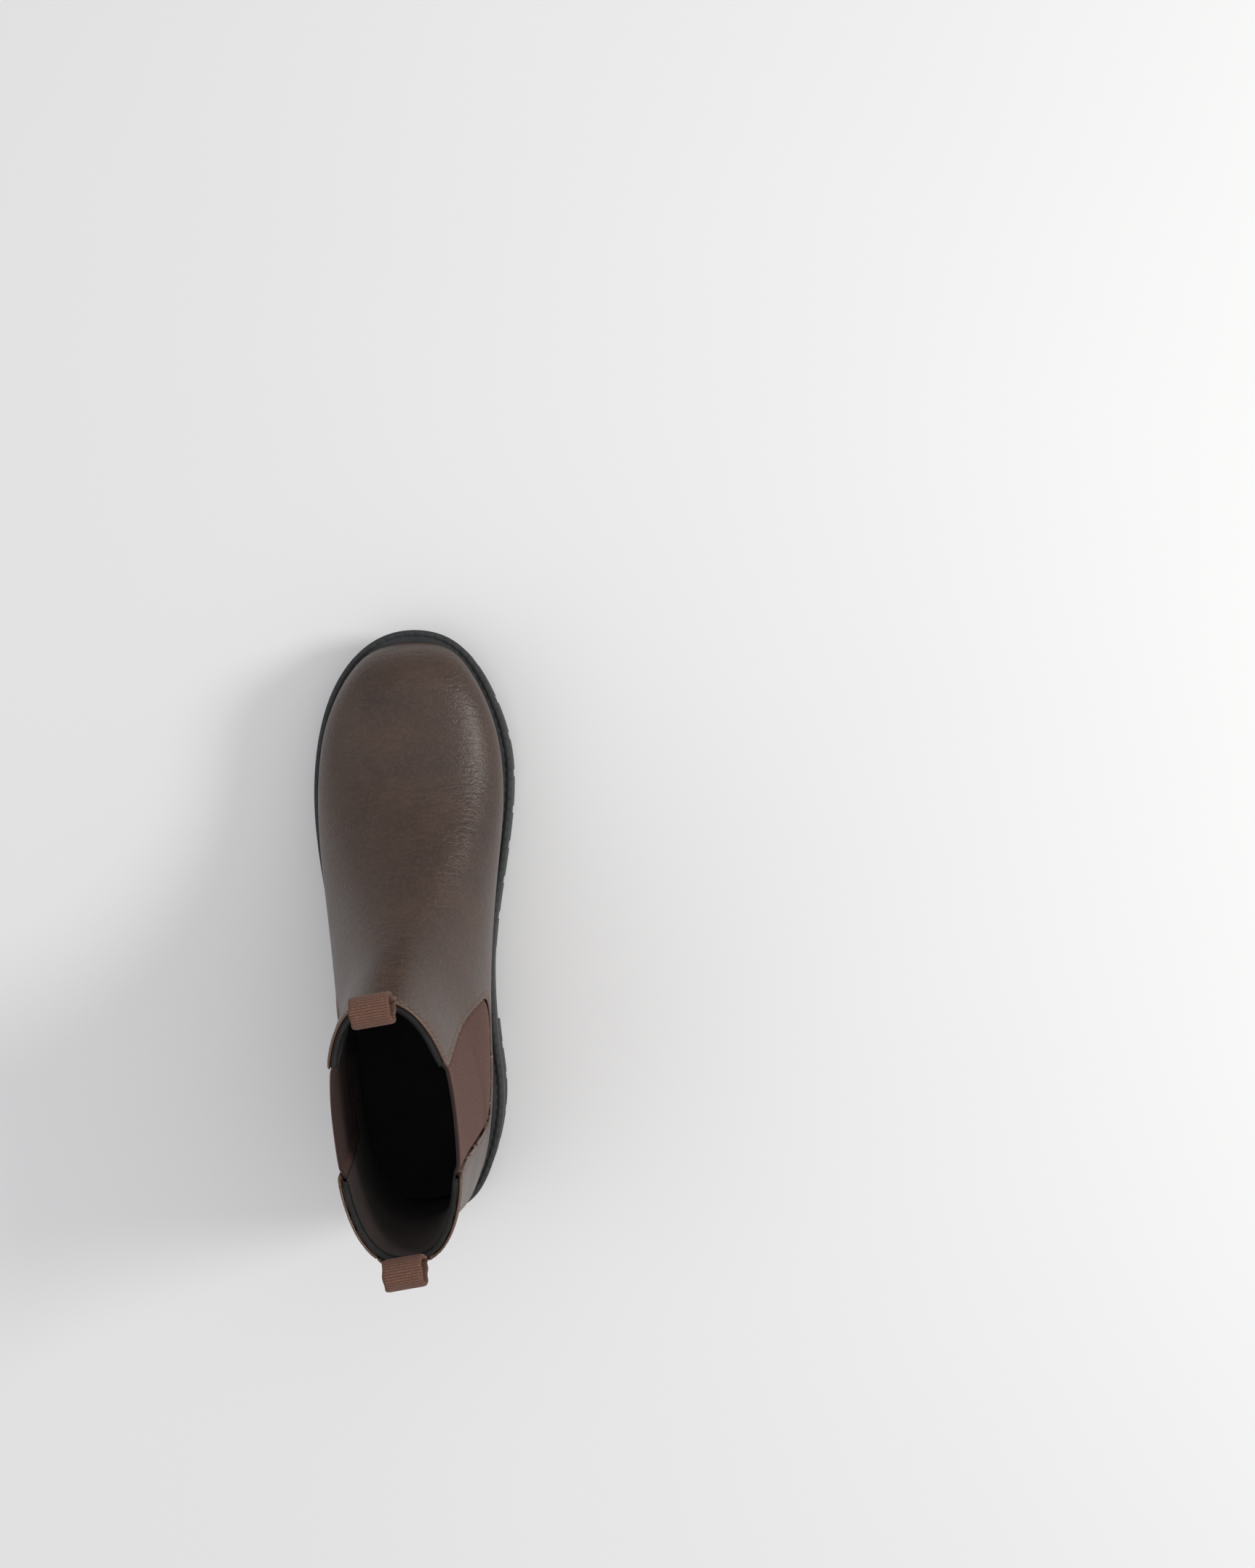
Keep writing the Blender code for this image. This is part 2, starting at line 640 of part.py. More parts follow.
def make_bottom_stack():
    """Shank, filler, insole board, foam and sock, which lie inside the welt and the upper."""
    top = lambda offset: lambda y: feather(y) + offset
    filler_foot = top(-WELT_THICK)
    inside_welt = WELT_WIDTH + GAP
    filler = slab("forefoot_filler", inside_welt, filler_foot, top(0), from_y=14 * MM, steps=20)
    finish(filler, "cork")
    finish(make_shank(filler_foot), "steel")
    layers = (
        ("insole_board", 0.3, 2.2, "board"),
        ("footbed_foam", 2.5, 4.9, "foam"),
        ("sock_liner", 5.2, 6.4, "black_textile"),
    )
    for name, low, high, material in layers:
        finish(slab(name, 12.8 * MM, top(low * MM), top(high * MM), steps=30), material)


def make_shank(foot, half_width=8 * MM, low_y=-112 * MM, high_y=10 * MM, thick=2.0 * MM):
    """A sprung steel strip under the arch, between the midsole and the insole board."""
    vertices = []
    for y in np.linspace(low_y, high_y, 16):
        z = float(foot(y))
        vertices += [
            (-half_width, y, z), (half_width, y, z),
            (half_width, y, z + thick), (-half_width, y, z + thick),
        ]
    return loft("shank", vertices, 4)


# ---------------------------------------------------------------- the upper's pieces


def make_upper():
    half = GAP / 2
    finish(panel("vamp", 0, LEATHER, vamp_outline(half)), "leather")
    for side in ("lateral", "medial"):
        quarter = panel(f"quarter_{side}", 0, LEATHER, quarter_outline(half), side)
        boolean(quarter, back_prism(f"quarter_{side}_back", backstay_outline(-half, 0, FAR)), "DIFFERENCE")
        finish(quarter, "leather")
        finish(panel(f"gore_{side}", GORE_RECESS, ELASTIC, gore_outline(half), side), "elastic")
    backstay = shell("backstay", 0, LEATHER)
    low_z = float(feather(-SOLE_HALF_LENGTH)) + GAP
    outline = backstay_outline(half, low_z, BACK_TOPLINE_Z - half)
    boolean(backstay, back_prism("backstay_cutter", outline), "INTERSECT")
    finish(backstay, "leather")
    finish(panel("vamp_lining", LINING_DEPTH, LINING, vamp_outline(half)), "black_textile")
    finish(panel("quarter_lining", LINING_DEPTH, LINING, quarter_outline(half)), "brown_lining")


def make_stiffeners():
    """The toe puff, the heel counter and the tapes under the topline, all between leather and lining."""
    foot = feather_edge(86 * MM, 0.16, 2 * GAP)
    outline = np.vstack((foot, [(FAR, foot[-1][1]), (FAR, 0.09), (100 * MM, 0.09)]))
    finish(panel("toe_puff", STIFFENER_DEPTH, STIFFENER, outline), "thermoplastic")
    foot = feather_edge(-0.16, -76 * MM, 2 * GAP)
    curve = rounded(((-76, 30, 0), (-81, 49, 12), (-108, 50.5, 24), (-122, 80, 20), (-170, 82, 0)))
    outline = np.vstack((foot, curve[1:]))
    finish(panel("heel_counter", STIFFENER_DEPTH, STIFFENER, outline), "thermoplastic")
    front = rounded(((10, 184.5, 0), (-53.6, 159.8, 7), (-51.2, 151, 0), (10, 174.6, 0)))
    back = rounded(((-170, 153.9, 0), (-101.9, 153.9, 5), (-101.9, 145, 0), (-170, 145, 0)))
    finish(panel("front_edge_tape", STIFFENER_DEPTH, STIFFENER, front), "black_textile")
    finish(panel("back_edge_tape", STIFFENER_DEPTH, STIFFENER, back), "black_textile")


def teardrop(base_r, end_r, reach, start=0.0):
    """A closed teardrop in a plane, its point at the origin and its round end at reach along the second axis."""
    lean = math.asin((end_r - base_r) / reach)
    points = []
    for k in range(13):
        angle = -lean + (math.pi + 2 * lean) * k / 12
        points.append((end_r * math.cos(angle), reach + end_r * math.sin(angle)))
    for k in range(5):
        angle = math.pi + lean + (math.pi - 2 * lean) * k / 4
        points.append((base_r * math.cos(angle), start + base_r * math.sin(angle)))
    return points


def make_loop(name, place):
    """A ribbon bent into a teardrop loop: an outline with a hole, in the side view, as wide as the ribbon."""
    turn = math.radians(place["lean"])
    curve = bpy.data.curves.new(name, "CURVE")
    curve.dimensions = "2D"
    curve.fill_mode = "BOTH"
    curve.extrude = LOOP_WIDTH / 2
    inner_base = 0.25 * MM
    inner_start = LOOP_REACH * (RIBBON + inner_base) / (LOOP_END_R - LOOP_BASE_R)
    outer = teardrop(LOOP_BASE_R, LOOP_END_R, LOOP_REACH)
    inner = teardrop(inner_base, LOOP_END_R - RIBBON, LOOP_REACH, inner_start)
    for ring in (outer, inner):
        path = curve.splines.new("POLY")
        path.points.add(len(ring) - 1)
        path.use_cyclic_u = True
        for point, (across, up) in zip(path.points, ring):
            y = across * math.cos(turn) - up * math.sin(turn)
            z = across * math.sin(turn) + up * math.cos(turn)
            point.co = (y, z, 0, 1)
    flat = bpy.data.objects.new(f"{name}_curve", curve)
    cutters.objects.link(flat)
    bpy.context.view_layer.update()
    mesh = bpy.data.meshes.new_from_object(flat.evaluated_get(bpy.context.evaluated_depsgraph_get()))
    edit = bmesh.new()
    edit.from_mesh(mesh)
    bmesh.ops.remove_doubles(edit, verts=edit.verts, dist=0.01 * MM)
    bmesh.ops.recalc_face_normals(edit, faces=edit.faces)
    edit.to_mesh(mesh)
    edit.free()
    bpy.data.objects.remove(flat)
    mesh.name = name
    body = bpy.data.objects.new(name, mesh)
    parts.objects.link(body)
    # The curve's plane becomes the side view: its x is the boot's y, its y the boot's z.
    body.rotation_euler = (math.pi / 2, 0, math.pi / 2 + LOOP_YAW)
    body.location = (place["x"], *place["pivot"])
    finish(body, "ribbon")


# ---------------------------------------------------------------- materials and assembly


def finish(body, material):
    body.data.materials.clear()
    body.data.materials.append(materials[material])


def make_materials():
    made = {}
    for name, (colour, roughness) in COLOURS.items():
        material = bpy.data.materials.new(name)
        material.use_nodes = True
        shader = material.node_tree.nodes["Principled BSDF"]
        shader.inputs["Base Color"].default_value = (*colour, 1)
        shader.inputs["Roughness"].default_value = roughness
        shader.inputs["Metallic"].default_value = 1.0 if name == "steel" else 0.0
        made[name] = material
    return made


for old in list(bpy.data.objects):
    bpy.data.objects.remove(old)
parts = bpy.data.collections.new("chelsea_boot")
cutters = bpy.data.collections.new("cutters")
bpy.context.scene.collection.children.link(parts)
bpy.context.scene.collection.children.link(cutters)
materials = make_materials()
sole_ring = closed_spline(SOLE_OUTLINE, 72)
make_sole()
make_bottom_stack()
make_upper()
make_stiffeners()
make_loop("front_pull_loop", FRONT_LOOP)
make_loop("back_pull_loop", BACK_LOOP)
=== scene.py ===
"""The looks of a left-foot chelsea boot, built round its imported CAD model.

Frame: +Y to the toe, +X to the medial (inner) side, +Z up, origin under the middle of the sole at the ground.
"""

import json
import math

import bmesh
import bpy
import numpy as np
from mathutils import Matrix, Vector
from mathutils.bvhtree import BVHTree


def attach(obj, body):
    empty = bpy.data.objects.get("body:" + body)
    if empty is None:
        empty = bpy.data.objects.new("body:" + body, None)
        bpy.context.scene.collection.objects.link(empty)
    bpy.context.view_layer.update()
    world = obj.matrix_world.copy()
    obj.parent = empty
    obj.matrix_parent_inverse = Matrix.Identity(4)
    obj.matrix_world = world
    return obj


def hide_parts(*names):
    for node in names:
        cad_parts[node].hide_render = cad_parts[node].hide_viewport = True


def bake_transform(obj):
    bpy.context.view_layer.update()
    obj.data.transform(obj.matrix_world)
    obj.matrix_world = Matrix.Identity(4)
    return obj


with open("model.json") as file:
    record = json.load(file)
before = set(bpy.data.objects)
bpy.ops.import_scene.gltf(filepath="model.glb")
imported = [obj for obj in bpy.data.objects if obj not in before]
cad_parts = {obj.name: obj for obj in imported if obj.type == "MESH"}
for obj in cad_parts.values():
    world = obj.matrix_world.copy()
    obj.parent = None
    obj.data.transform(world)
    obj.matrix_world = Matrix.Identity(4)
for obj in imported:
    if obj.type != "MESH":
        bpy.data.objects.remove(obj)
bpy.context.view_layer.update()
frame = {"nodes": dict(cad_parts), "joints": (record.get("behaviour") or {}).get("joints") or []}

MM = 0.001
SIDES = {"lateral": -1, "medial": 1}

# The upper's form, in millimetres. Each row is one section, from the toe's tip over the instep to the
# collar: its upper end (y, z) on the front profile, its lower end (y, z) on the feather line or up the back
# of the heel, its greatest half width, its half width at the lower end, the lower end's shift to the medial
# side, and the share of the way up at which it is widest.
SECTIONS = (
    ((143.5, 30.7), (143.5, 30.7), 0.0, 0.0, 2.2, 0.30),
    ((141.9, 38.2), (141.6, 30.2), 13.0, 12.6, 1.9, 0.30),
    ((137.3, 46.2), (137.0, 29.5), 22.3, 21.2, 1.0, 0.30),
    ((128.5, 53.4), (128.3, 28.3), 30.2, 28.0, 0.0, 0.30),
    ((115.0, 56.8), (115.0, 26.4), 37.8, 34.8, -1.0, 0.30),
    ((98.0, 57.5), (98.0, 23.7), 43.8, 41.0, -1.8, 0.30),
    ((79.0, 59.4), (78.0, 21.6), 46.9, 44.3, -2.4, 0.27),
    ((60.0, 65.6), (55.0, 20.4), 47.3, 44.8, -3.2, 0.23),
    ((43.5, 75.1), (29.0, 20.0), 45.4, 42.6, -4.2, 0.21),
    ((29.0, 85.0), (0.0, 20.2), 42.6, 39.4, -4.6, 0.21),
    ((17.0, 95.6), (-32.0, 23.4), 40.0, 36.6, -4.0, 0.23),
    ((8.0, 105.0), (-66.0, 25.8), 38.3, 35.0, -2.6, 0.28),
    ((1.0, 113.8), (-98.0, 26.8), 37.3, 34.3, -1.0, 0.34),
    ((-3.2, 120.5), (-121.0, 27.1), 36.3, 29.0, -0.2, 0.38),
    ((-6.4, 126.8), (-137.5, 27.3), 35.3, 20.5, 0.2, 0.41),
    ((-9.0, 132.6), (-145.0, 27.5), 34.4, 10.0, 0.5, 0.43),
    ((-11.4, 138.8), (-147.0, 28.5), 33.4, 0.0, 0.8, 0.45),
    ((-13.8, 145.8), (-147.7, 45.0), 32.3, 0.0, 1.1, 0.47),
    ((-16.0, 153.0), (-145.5, 67.0), 31.2, 0.0, 1.4, 0.48),
    ((-18.0, 160.0), (-141.7, 88.0), 30.2, 0.0, 1.7, 0.50),
    ((-19.8, 167.0), (-139.2, 109.0), 29.2, 0.0, 2.0, 0.50),
    ((-21.4, 173.6), (-139.3, 131.0), 28.5, 0.0, 2.2, 0.50),
    ((-22.9, 180.0), (-141.2, 154.0), 28.2, 0.0, 2.3, 0.50),
    ((-24.3, 186.5), (-143.0, 172.0), 28.1, 0.0, 2.4, 0.50),
)
HEEL_SECTION = 16  # from this one on, the two sides meet down the back of the heel
SIDE_SHIFT = 1.7 * MM  # puts the middle of the sole's width on the origin
RIDGE_SHIFT = 2.2 * MM  # the instep's ridge and the collar stand this far to the medial side
COLLAR_MIDDLE = (3.9 * MM, -81.0 * MM)
TWIST = math.radians(4)  # the collar is turned this much about the vertical, toe side to the lateral
TWIST_START_Z = 60 * MM
TWIST_END_Z = 165 * MM
FULLNESS = 2.25  # exponent of the superellipse over each section's top
LOW_FULLNESS = ((12, 17), (2.0, 2.5))  # the same for its lower part: (sections, exponents)

# The sole's outline from above, and its levels along the boot, in millimetres.
SOLE_OUTLINE = (
    (3, 150), (27, 140.5), (43.5, 112), (50, 77), (45, 32), (37.5, -18), (38.5, -66), (39.5, -100),
    (26, -139.5), (0, -150), (-26, -139.5), (-38.8, -100), (-40.5, -64), (-45.6, -12), (-52.2, 38), (-52.3, 80),
    (-42, 118), (-21.5, 143),
)
FEATHER_LEVEL = (
    (-150, 27.5), (-100, 26.8), (-66, 25.8), (-37, 24), (-17, 22), (2, 20.3), (23, 19.9), (43, 20),
    (64, 20.7), (84, 22), (101, 24.2), (118, 26.9), (135, 29.6), (150, 31),
)
MIDSOLE_FOOT = (
    (-150, 16), (-100, 15.8), (-54, 15), (-18, 13), (10, 12.6), (38, 13.6), (57, 14.1), (77, 15.5),
    (98.6, 17.4), (118, 19.4), (150, 22.4),
)
OUTSOLE_FOOT = (
    (-150, 11.7), (-54, 11.7), (-40, 10.6), (-24, 9.4), (-18, 8.4), (-14, 6), (-3, 3.9), (10, 2.2), (23, 1),
    (38, 0.1), (44, 0), (50, 0), (68, 1.2), (89, 3.8), (107.5, 7.8), (129.5, 12.5), (143, 15), (150, 16.8),
)

# The elastic's outline in the side view: corners (y, z) and the radius of each, in millimetres.
GORE = (
    (-100.7, 149.8, 0), (-99.2, 53.3, 19), (-32.5, 53.3, 20), (-36.9, 92, 120), (-53.1, 153.2, 0),
)
FRONT_FLAP_CORNER = (-54.6, 160.2, 8)
FRONT_TOPLINE_END = (8.0, 184.5)
BACK_FLAP_CORNER = (-100.9, 154.4, 6)
# The backstay's half width up the heel: (z, half width), and how far its middle stands to the medial side.
BACKSTAY_HALF_WIDTH = (
    (15, 30), (28, 27.5), (40, 24), (52, 21.5), (64, 20), (80, 19), (92, 18.2), (107, 16.6), (121, 14.6),
    (136, 12.6), (155, 11), (175, 10),
)
BACKSTAY_X = 5.0 * MM
BACKSTAY_FRONT_Y = -105 * MM  # no part of the backstay lies before this

# The side seam between vamp and quarter (y, z), and the level of the topline behind, in millimetres.
SEAM_TOP = (-65.8, 53.3)
SEAM_FOOT_Y = -64.6
SEAM_LOW_Z = 22
SEAM_END_Y = SEAM_FOOT_Y + 0.8
BACK_TOPLINE_Z = 154.4
DEEP = -20  # below every edge of the upper
WAY_OUT = 300  # beyond every edge of the upper
# The linings end this far below the leather's topline. The tapes fill these bands of the side view (y, z).
LINING_DROP = 2.4
FRONT_TAPE_BAND = (
    (FRONT_TOPLINE_END[0], FRONT_TOPLINE_END[1] - 4.2, 0), (-52.9, 155.8, 0), (-70, 150, 0), (-70, 240, 0),
    (FRONT_TOPLINE_END[0], 240, 0),
)
BACK_TAPE_BAND = (
    (-WAY_OUT, 150.4, 0), (-101.4, 150.4, 0), (-90, 150.4, 0), (-90, 200, 0), (-WAY_OUT, 200, 0),
)

# Thickness of each layer of the upper, from the outside in.
LEATHER = 1.6 * MM
ELASTIC = 1.3 * MM
TAPE_DEPTH = 1.75 * MM
TAPE = 2.6 * MM
LINING_DEPTH = 3.2 * MM
LINING = 1.0 * MM
GORE_RECESS = 0.75 * MM
GORE_TUCK = 1.9 * MM  # the elastic's depth where it runs under the leather
GORE_TUCK_REACH = 2.0 * MM  # over this distance from the leather's edge
TAPE_INSET = 0.35 * MM  # the tape's edge lies this far inside the leather's

# Stitching.
ROW_FROM_EDGE = 1.2 * MM
ROW_TO_ROW = 2.2 * MM
DOUBLE_PITCH = 2.7 * MM
SINGLE_PITCH = 1.95 * MM
# The leather's surface across its edge and its rows of stitches: (distance from the edge, height), in
# millimetres.
EDGE_ROLL = ((0, -0.75), (0.15, -0.36), (0.4, -0.1), (0.8, 0))
DOUBLE_ROW = ((0.8, 0), (1.2, -0.26), (1.7, 0.02), (2.3, 0.2), (2.9, 0.02), (3.4, -0.26), (4.0, 0), (5.5, 0))
SINGLE_ROW = ((0.7, 0.12), (1.2, -0.16), (1.8, 0.14), (3.0, 0.1), (5.5, 0))
BACKSTAY_STEP = ((0, 0.25), (3, 0.45), (6, 0.35), (12, 0))
TAPE_ROLL = ((0, -0.4), (0.4, -0.08), (0.8, 0))
# One stitch, from end to end: (place along it, -1 to 1; share of its girth; height in millimetres).
STITCH_SHAPE = ((-1, 0.5, -0.34), (-0.72, 0.85, 0.02), (0, 1, 0.16), (0.72, 0.85, 0.02), (1, 0.5, -0.34))
STITCH_SIDES = 7

# The surface grid, and how a panel is cut out of it.
LEATHER_ROWS = 260
LEATHER_COLUMNS = 64
PANEL_MARGIN = 4 * MM  # the grid is kept this far beyond a panel's edge until the panel is trimmed
SNAP_SHARE = 0.06  # a cut this near the end of an edge goes through the point there
FAR_AWAY = 0.1

# Elastic.
GORE_RIB = 1.5 * MM
GORE_RIB_DEPTH = 0.32 * MM
GORE_SAMPLES_PER_RIB = 6
GORE_COLUMNS = 46
GORE_BEYOND = 2.2 * MM  # how far the elastic runs on under the leather
GORE_RIBS_END_Z = 151.5 * MM
GORE_HEM = 3.0 * MM
GORE_LIP = 0.8 * MM  # the top edge of the hem rounds off over this height
GORE_LIP_DEPTH = 0.5 * MM

# Sole.
WELT_THICK = 3.0 * MM
BEAD_PITCH = 5.3 * MM
HEEL_FRONT_Y = -54.5 * MM
HEEL_TOP_Z = 11.4 * MM
TREAD_DEPTH = 5.6 * MM
HEEL_TREAD_DEPTH = 3.0 * MM
TREAD_BACK_Y = -17.6 * MM
NOTCH = 3.4 * MM
FORE_NOTCHES = (0.5, 19.1, 37.5, 56.0, 75.2, 94.8, 114.0, 133.5)
HEEL_NOTCHES = (-136.4, -119.6, -102.0, -84.6, -68.5)
SIDE_LUG_SHARE = 0.48
CHANNEL_SHARE = 0.04  # half the gap between side lugs and bars, as a share of the half width
LUG_LAP = 0.35 * MM  # the lugs stand this far into the plate above them
LUG_ROUND = 0.45 * MM
TREAD_END_Y = 148.5 * MM
LAYER_GAP = 0.25 * MM
# The welt's section: (distance in from its rim, height over the feather line), in millimetres.
WELT_PROFILE = (
    (13.0, -3.0), (0.9, -3.0), (0.25, -2.85), (0.02, -2.4), (0.0, -1.7), (0.15, -1.0), (0.6, -0.45),
    (1.2, -0.15), (1.7, 0.0), (2.3, 0.0), (2.8, -0.2), (3.15, -0.5), (3.6, -0.62), (4.2, -0.5), (5.2, -0.35),
    (13.0, -0.2),
)
BEAD_BAND = (1.0, 3.2)  # the part of that section that carries the bead
BEAD_HEIGHT = 0.55
# The sock liner's section: (distance in from the sole's outline, height over the feather line), the same.
SOCK_PROFILE = ((11.2, 5.4), (9.8, 6.6), (9.6, 7.8), (10.4, 7.6), (12.4, 6.8), (15.0, 6.6))

# Pull loops.
LOOP_WIDTH = 17.2 * MM
LOOP_BASE_R = 1.15 * MM
LOOP_END_R = 6.9 * MM
LOOP_REACH = 11.0 * MM
LOOP_YAW = math.radians(8)
RIBBON = 1.1 * MM
RIBBON_RIB = 1.15 * MM
RIBBON_ROOT = 9.0 * MM
RIBBON_SAMPLES = 15
LOOPS = {
    "front_pull_loop": {"body": "front_pull", "lean": math.radians(4)},
    "back_pull_loop": {"body": "back_pull", "lean": math.radians(5)},
}

# The camera looks straight down, as in the photo. Lights: name, place, diameter, power and colour.
CAMERA_PLACE = (111.1 * MM, 67.2 * MM, 890 * MM)
CAMERA_TURN = math.radians(-2)
CAMERA_LENS = 38.52
LIGHTS = (
    ("key", (1.45, 0.20, 1.00), 0.50, 13.0, (1.0, 0.98, 0.95)),
    ("fill", (-1.3, -0.3, 1.1), 1.8, 3.5, (0.93, 0.94, 1.0)),
    ("top", (0.6, 0.5, 2.6), 3.6, 13.0, (1.0, 0.995, 0.985)),
)
LIGHTS_AIM = (0, 0, 0.05)
WORLD_COLOUR = (0.985, 0.985, 1.0, 1)
WORLD_STRENGTH = 0.60


# ---------------------------------------------------------------- curves and functions


def spline(values, at, start_slope=None):
    """A cubic spline through evenly spaced values, natural at its ends, read at the places in at."""
    values = np.asarray(values, float)
    count = len(values)
    system = np.zeros((count, count))
    right = np.zeros(count)
    for row in range(1, count - 1):
        system[row, row - 1 : row + 2] = (1, 4, 1)
        right[row] = 6 * (values[row - 1] - 2 * values[row] + values[row + 1])
    system[0, 0] = system[-1, -1] = 1
    if start_slope is not None:
        system[0, :2] = (2, 1)
        right[0] = 6 * (values[1] - values[0] - start_slope)
    bend = np.linalg.solve(system, right)
    at = np.asarray(at, float)
    low = np.clip(np.floor(at).astype(int), 0, count - 2)
    part = at - low
    rest = 1 - part
    straight = values[low] * rest + values[low + 1] * part
    return straight + ((rest**3 - rest) * bend[low] + (part**3 - part) * bend[low + 1]) / 6


def level(knots):
    """A height along the boot from (y, z) knots in millimetres, as a function of y in metres."""
    ys, zs = np.array(knots, float).T * MM

    def height(y):
        slopes = np.gradient(zs, ys)
        place = np.clip(np.searchsorted(ys, y) - 1, 0, len(ys) - 2)
        span = ys[place + 1] - ys[place]
        part = np.clip((y - ys[place]) / span, 0, 1)
        square, cube = part**2, part**3
        return (
            (2 * cube - 3 * square + 1) * zs[place]
            + (cube - 2 * square + part) * span * slopes[place]
            + (3 * square - 2 * cube) * zs[place + 1]
            + (cube - square) * span * slopes[place + 1]
        )

    return height


feather = level(FEATHER_LEVEL)
midsole_foot = level(MIDSOLE_FOOT)
outsole_curve = level(OUTSOLE_FOOT)


def outsole_foot(y):
    return np.maximum(outsole_curve(y), 0)


def rounded(corners, arc_step=math.radians(12)):
    """A polyline in metres through millimetre corners (a, b, radius), with an arc in place of each rounded one."""
    points = []
    for i, (a, b, radius) in enumerate(corners):
        corner = np.array((a, b)) * MM
        if not radius:
            points.append(corner)
            continue
        before = np.array(corners[i - 1][:2]) * MM - corner
        after = np.array(corners[(i + 1) % len(corners)][:2]) * MM - corner
        before /= np.linalg.norm(before)
        after /= np.linalg.norm(after)
        half = math.acos(np.clip(before @ after, -1, 1)) / 2
        radius = radius * MM
        middle = corner + (before + after) / np.linalg.norm(before + after) * radius / math.sin(half)
        start = corner + before * radius / math.tan(half) - middle
        end = corner + after * radius / math.tan(half) - middle
        turn = math.pi - 2 * half
        steps = max(2, math.ceil(turn / arc_step))
        for k in range(steps + 1):
            share = k * turn / steps
            points.append(middle + (start * math.sin(turn - share) + end * math.sin(share)) / math.sin(turn))
    return np.array(points)


def run_lengths(points):
    """How far along its polyline each point lies."""
    return np.concatenate(([0], np.cumsum(np.linalg.norm(np.diff(points, axis=0), axis=1))))


def read_along(at, lengths, points):
    """The points at the lengths in at along a polyline."""
    return np.stack([np.interp(at, lengths, column) for column in points.T], -1)


def inset(outline, distance):
    """A closed outline moved inwards by distance, whichever way it runs."""
    ahead = np.roll(outline, -1, 0) - outline
    ahead /= np.linalg.norm(ahead, axis=1)[:, None]
    behind = np.roll(ahead, 1, 0)
    area = np.sum(outline[:, 0] * np.roll(outline[:, 1], -1) - np.roll(outline[:, 0], -1) * outline[:, 1])
    side = math.copysign(1, area)
    normals = np.stack((-(ahead + behind)[:, 1], (ahead + behind)[:, 0]), 1)
    normals /= np.linalg.norm(normals, axis=1)[:, None]
    stretch = np.sqrt(np.maximum((1 + np.sum(ahead * behind, 1)) / 2, 0.3))
    return outline + side * normals * (distance / stretch)[:, None]


def closed_spline(points, steps):
    """A smooth closed curve through the points, in millimetres, as steps points in metres."""
    ring = np.array(points, float)
    count = len(ring)
    padded = np.vstack((ring[-4:], ring, ring[:5]))
    at = 4 + np.arange(steps) * count / steps
    curve = np.stack([spline(padded[:, k], at) for k in (0, 1)], 1) * MM
    return curve + (SIDE_SHIFT, 0)


# ---------------------------------------------------------------- the upper's form


def section_values(at):
    """Every measure of the upper's sections at the places in at, in metres."""
    top = np.array([row[0] for row in SECTIONS])
    low = np.array([row[1] for row in SECTIONS])
    rest = np.array([row[2:] for row in SECTIONS])
    return {
        "top": np.stack((spline(top[:, 0], at, 0), spline(top[:, 1], at)), 1) * MM,
        "low": np.stack((spline(low[:, 0], at, 0), spline(low[:, 1], at)), 1) * MM,
        "half": spline(rest[:, 0], at) * MM,
        "low_half": np.where(at < HEEL_SECTION - 0.5, np.maximum(spline(rest[:, 1], at), 0), 0) * MM,
        "shift": spline(rest[:, 2], at) * MM,
        "widest": spline(rest[:, 3], at),
    }


def upper_grid(rows, columns):
    """Points of the upper's outer face: rows from the toe to above the collar, each from lateral to medial."""
    at = np.linspace(0, len(SECTIONS) - 1, rows)
    form = section_values(at)
    low_columns = columns // 3
    rise = np.linspace(0, math.pi / 2, low_columns + 1)[:-1]
    arch = np.linspace(0, math.pi / 2, columns - low_columns + 1)
    grid = np.zeros((rows, 2 * columns + 1, 3))
    for r in range(rows):
        half, widest = form["half"][r], form["widest"][r]
        low_fullness = np.interp(at[r], *LOW_FULLNESS)
        tuck = 1 - (form["low_half"][r] / half) ** low_fullness if half > 1e-6 else 1
        up = np.concatenate((
            widest * (1 - np.cos(rise) ** (2 / low_fullness)),
            widest + (1 - widest) * np.sin(arch) ** (2 / FULLNESS),
        ))
        out = np.concatenate((
            half * np.maximum(1 - tuck * np.cos(rise) ** 2, 0) ** (1 / low_fullness),
            half * np.maximum(np.cos(arch), 0) ** (2 / FULLNESS),
        ))
        middle = form["shift"][r] * (1 - up) + RIDGE_SHIFT * up + SIDE_SHIFT
        side_view = form["low"][r] + np.outer(up, form["top"][r] - form["low"][r])
        for c in range(columns + 1):
            grid[r, c] = (middle[c] - out[c], *side_view[c])
            grid[r, -1 - c] = (middle[c] + out[c], *side_view[c])
    return twisted(grid)


def twisted(grid):
    """The upper's points with the shaft turned a little about the vertical, more towards the collar."""
    x, y, z = np.moveaxis(grid, -1, 0)
    share = np.clip((z - TWIST_START_Z) / (TWIST_END_Z - TWIST_START_Z), 0, 1)
    turn = TWIST * share**2 * (3 - 2 * share)
    across, along = x - COLLAR_MIDDLE[0], y - COLLAR_MIDDLE[1]
    return np.stack((
        COLLAR_MIDDLE[0] + across * np.cos(turn) - along * np.sin(turn),
        COLLAR_MIDDLE[1] + across * np.sin(turn) + along * np.cos(turn),
        z,
    ), -1)


def seam_row(grid):
    """The first row whose two ends meet, at the foot of the heel."""
    apart = np.linalg.norm(grid[:, 0] - grid[:, -1], axis=1)
    return next(r for r in range(1, len(grid)) if apart[r] < 0.01 * MM)


def outward_normals(grid):
    """The unit normals of the upper's face at every point of its grid."""
    along = np.gradient(grid, axis=0)
    across = np.gradient(grid, axis=1)
    heel = seam_row(grid)
    across[heel:, 0] = across[heel:, -1] = grid[heel:, 1] - grid[heel:, -2]
    normals = np.cross(across, along)
    normals[0] = (0, 1, 0)
    normals /= np.linalg.norm(normals, axis=2)[:, :, None]
    middle = normals[len(grid) // 2, grid.shape[1] // 2]
    normals[1:] *= math.copysign(1, middle[2])
    return normals


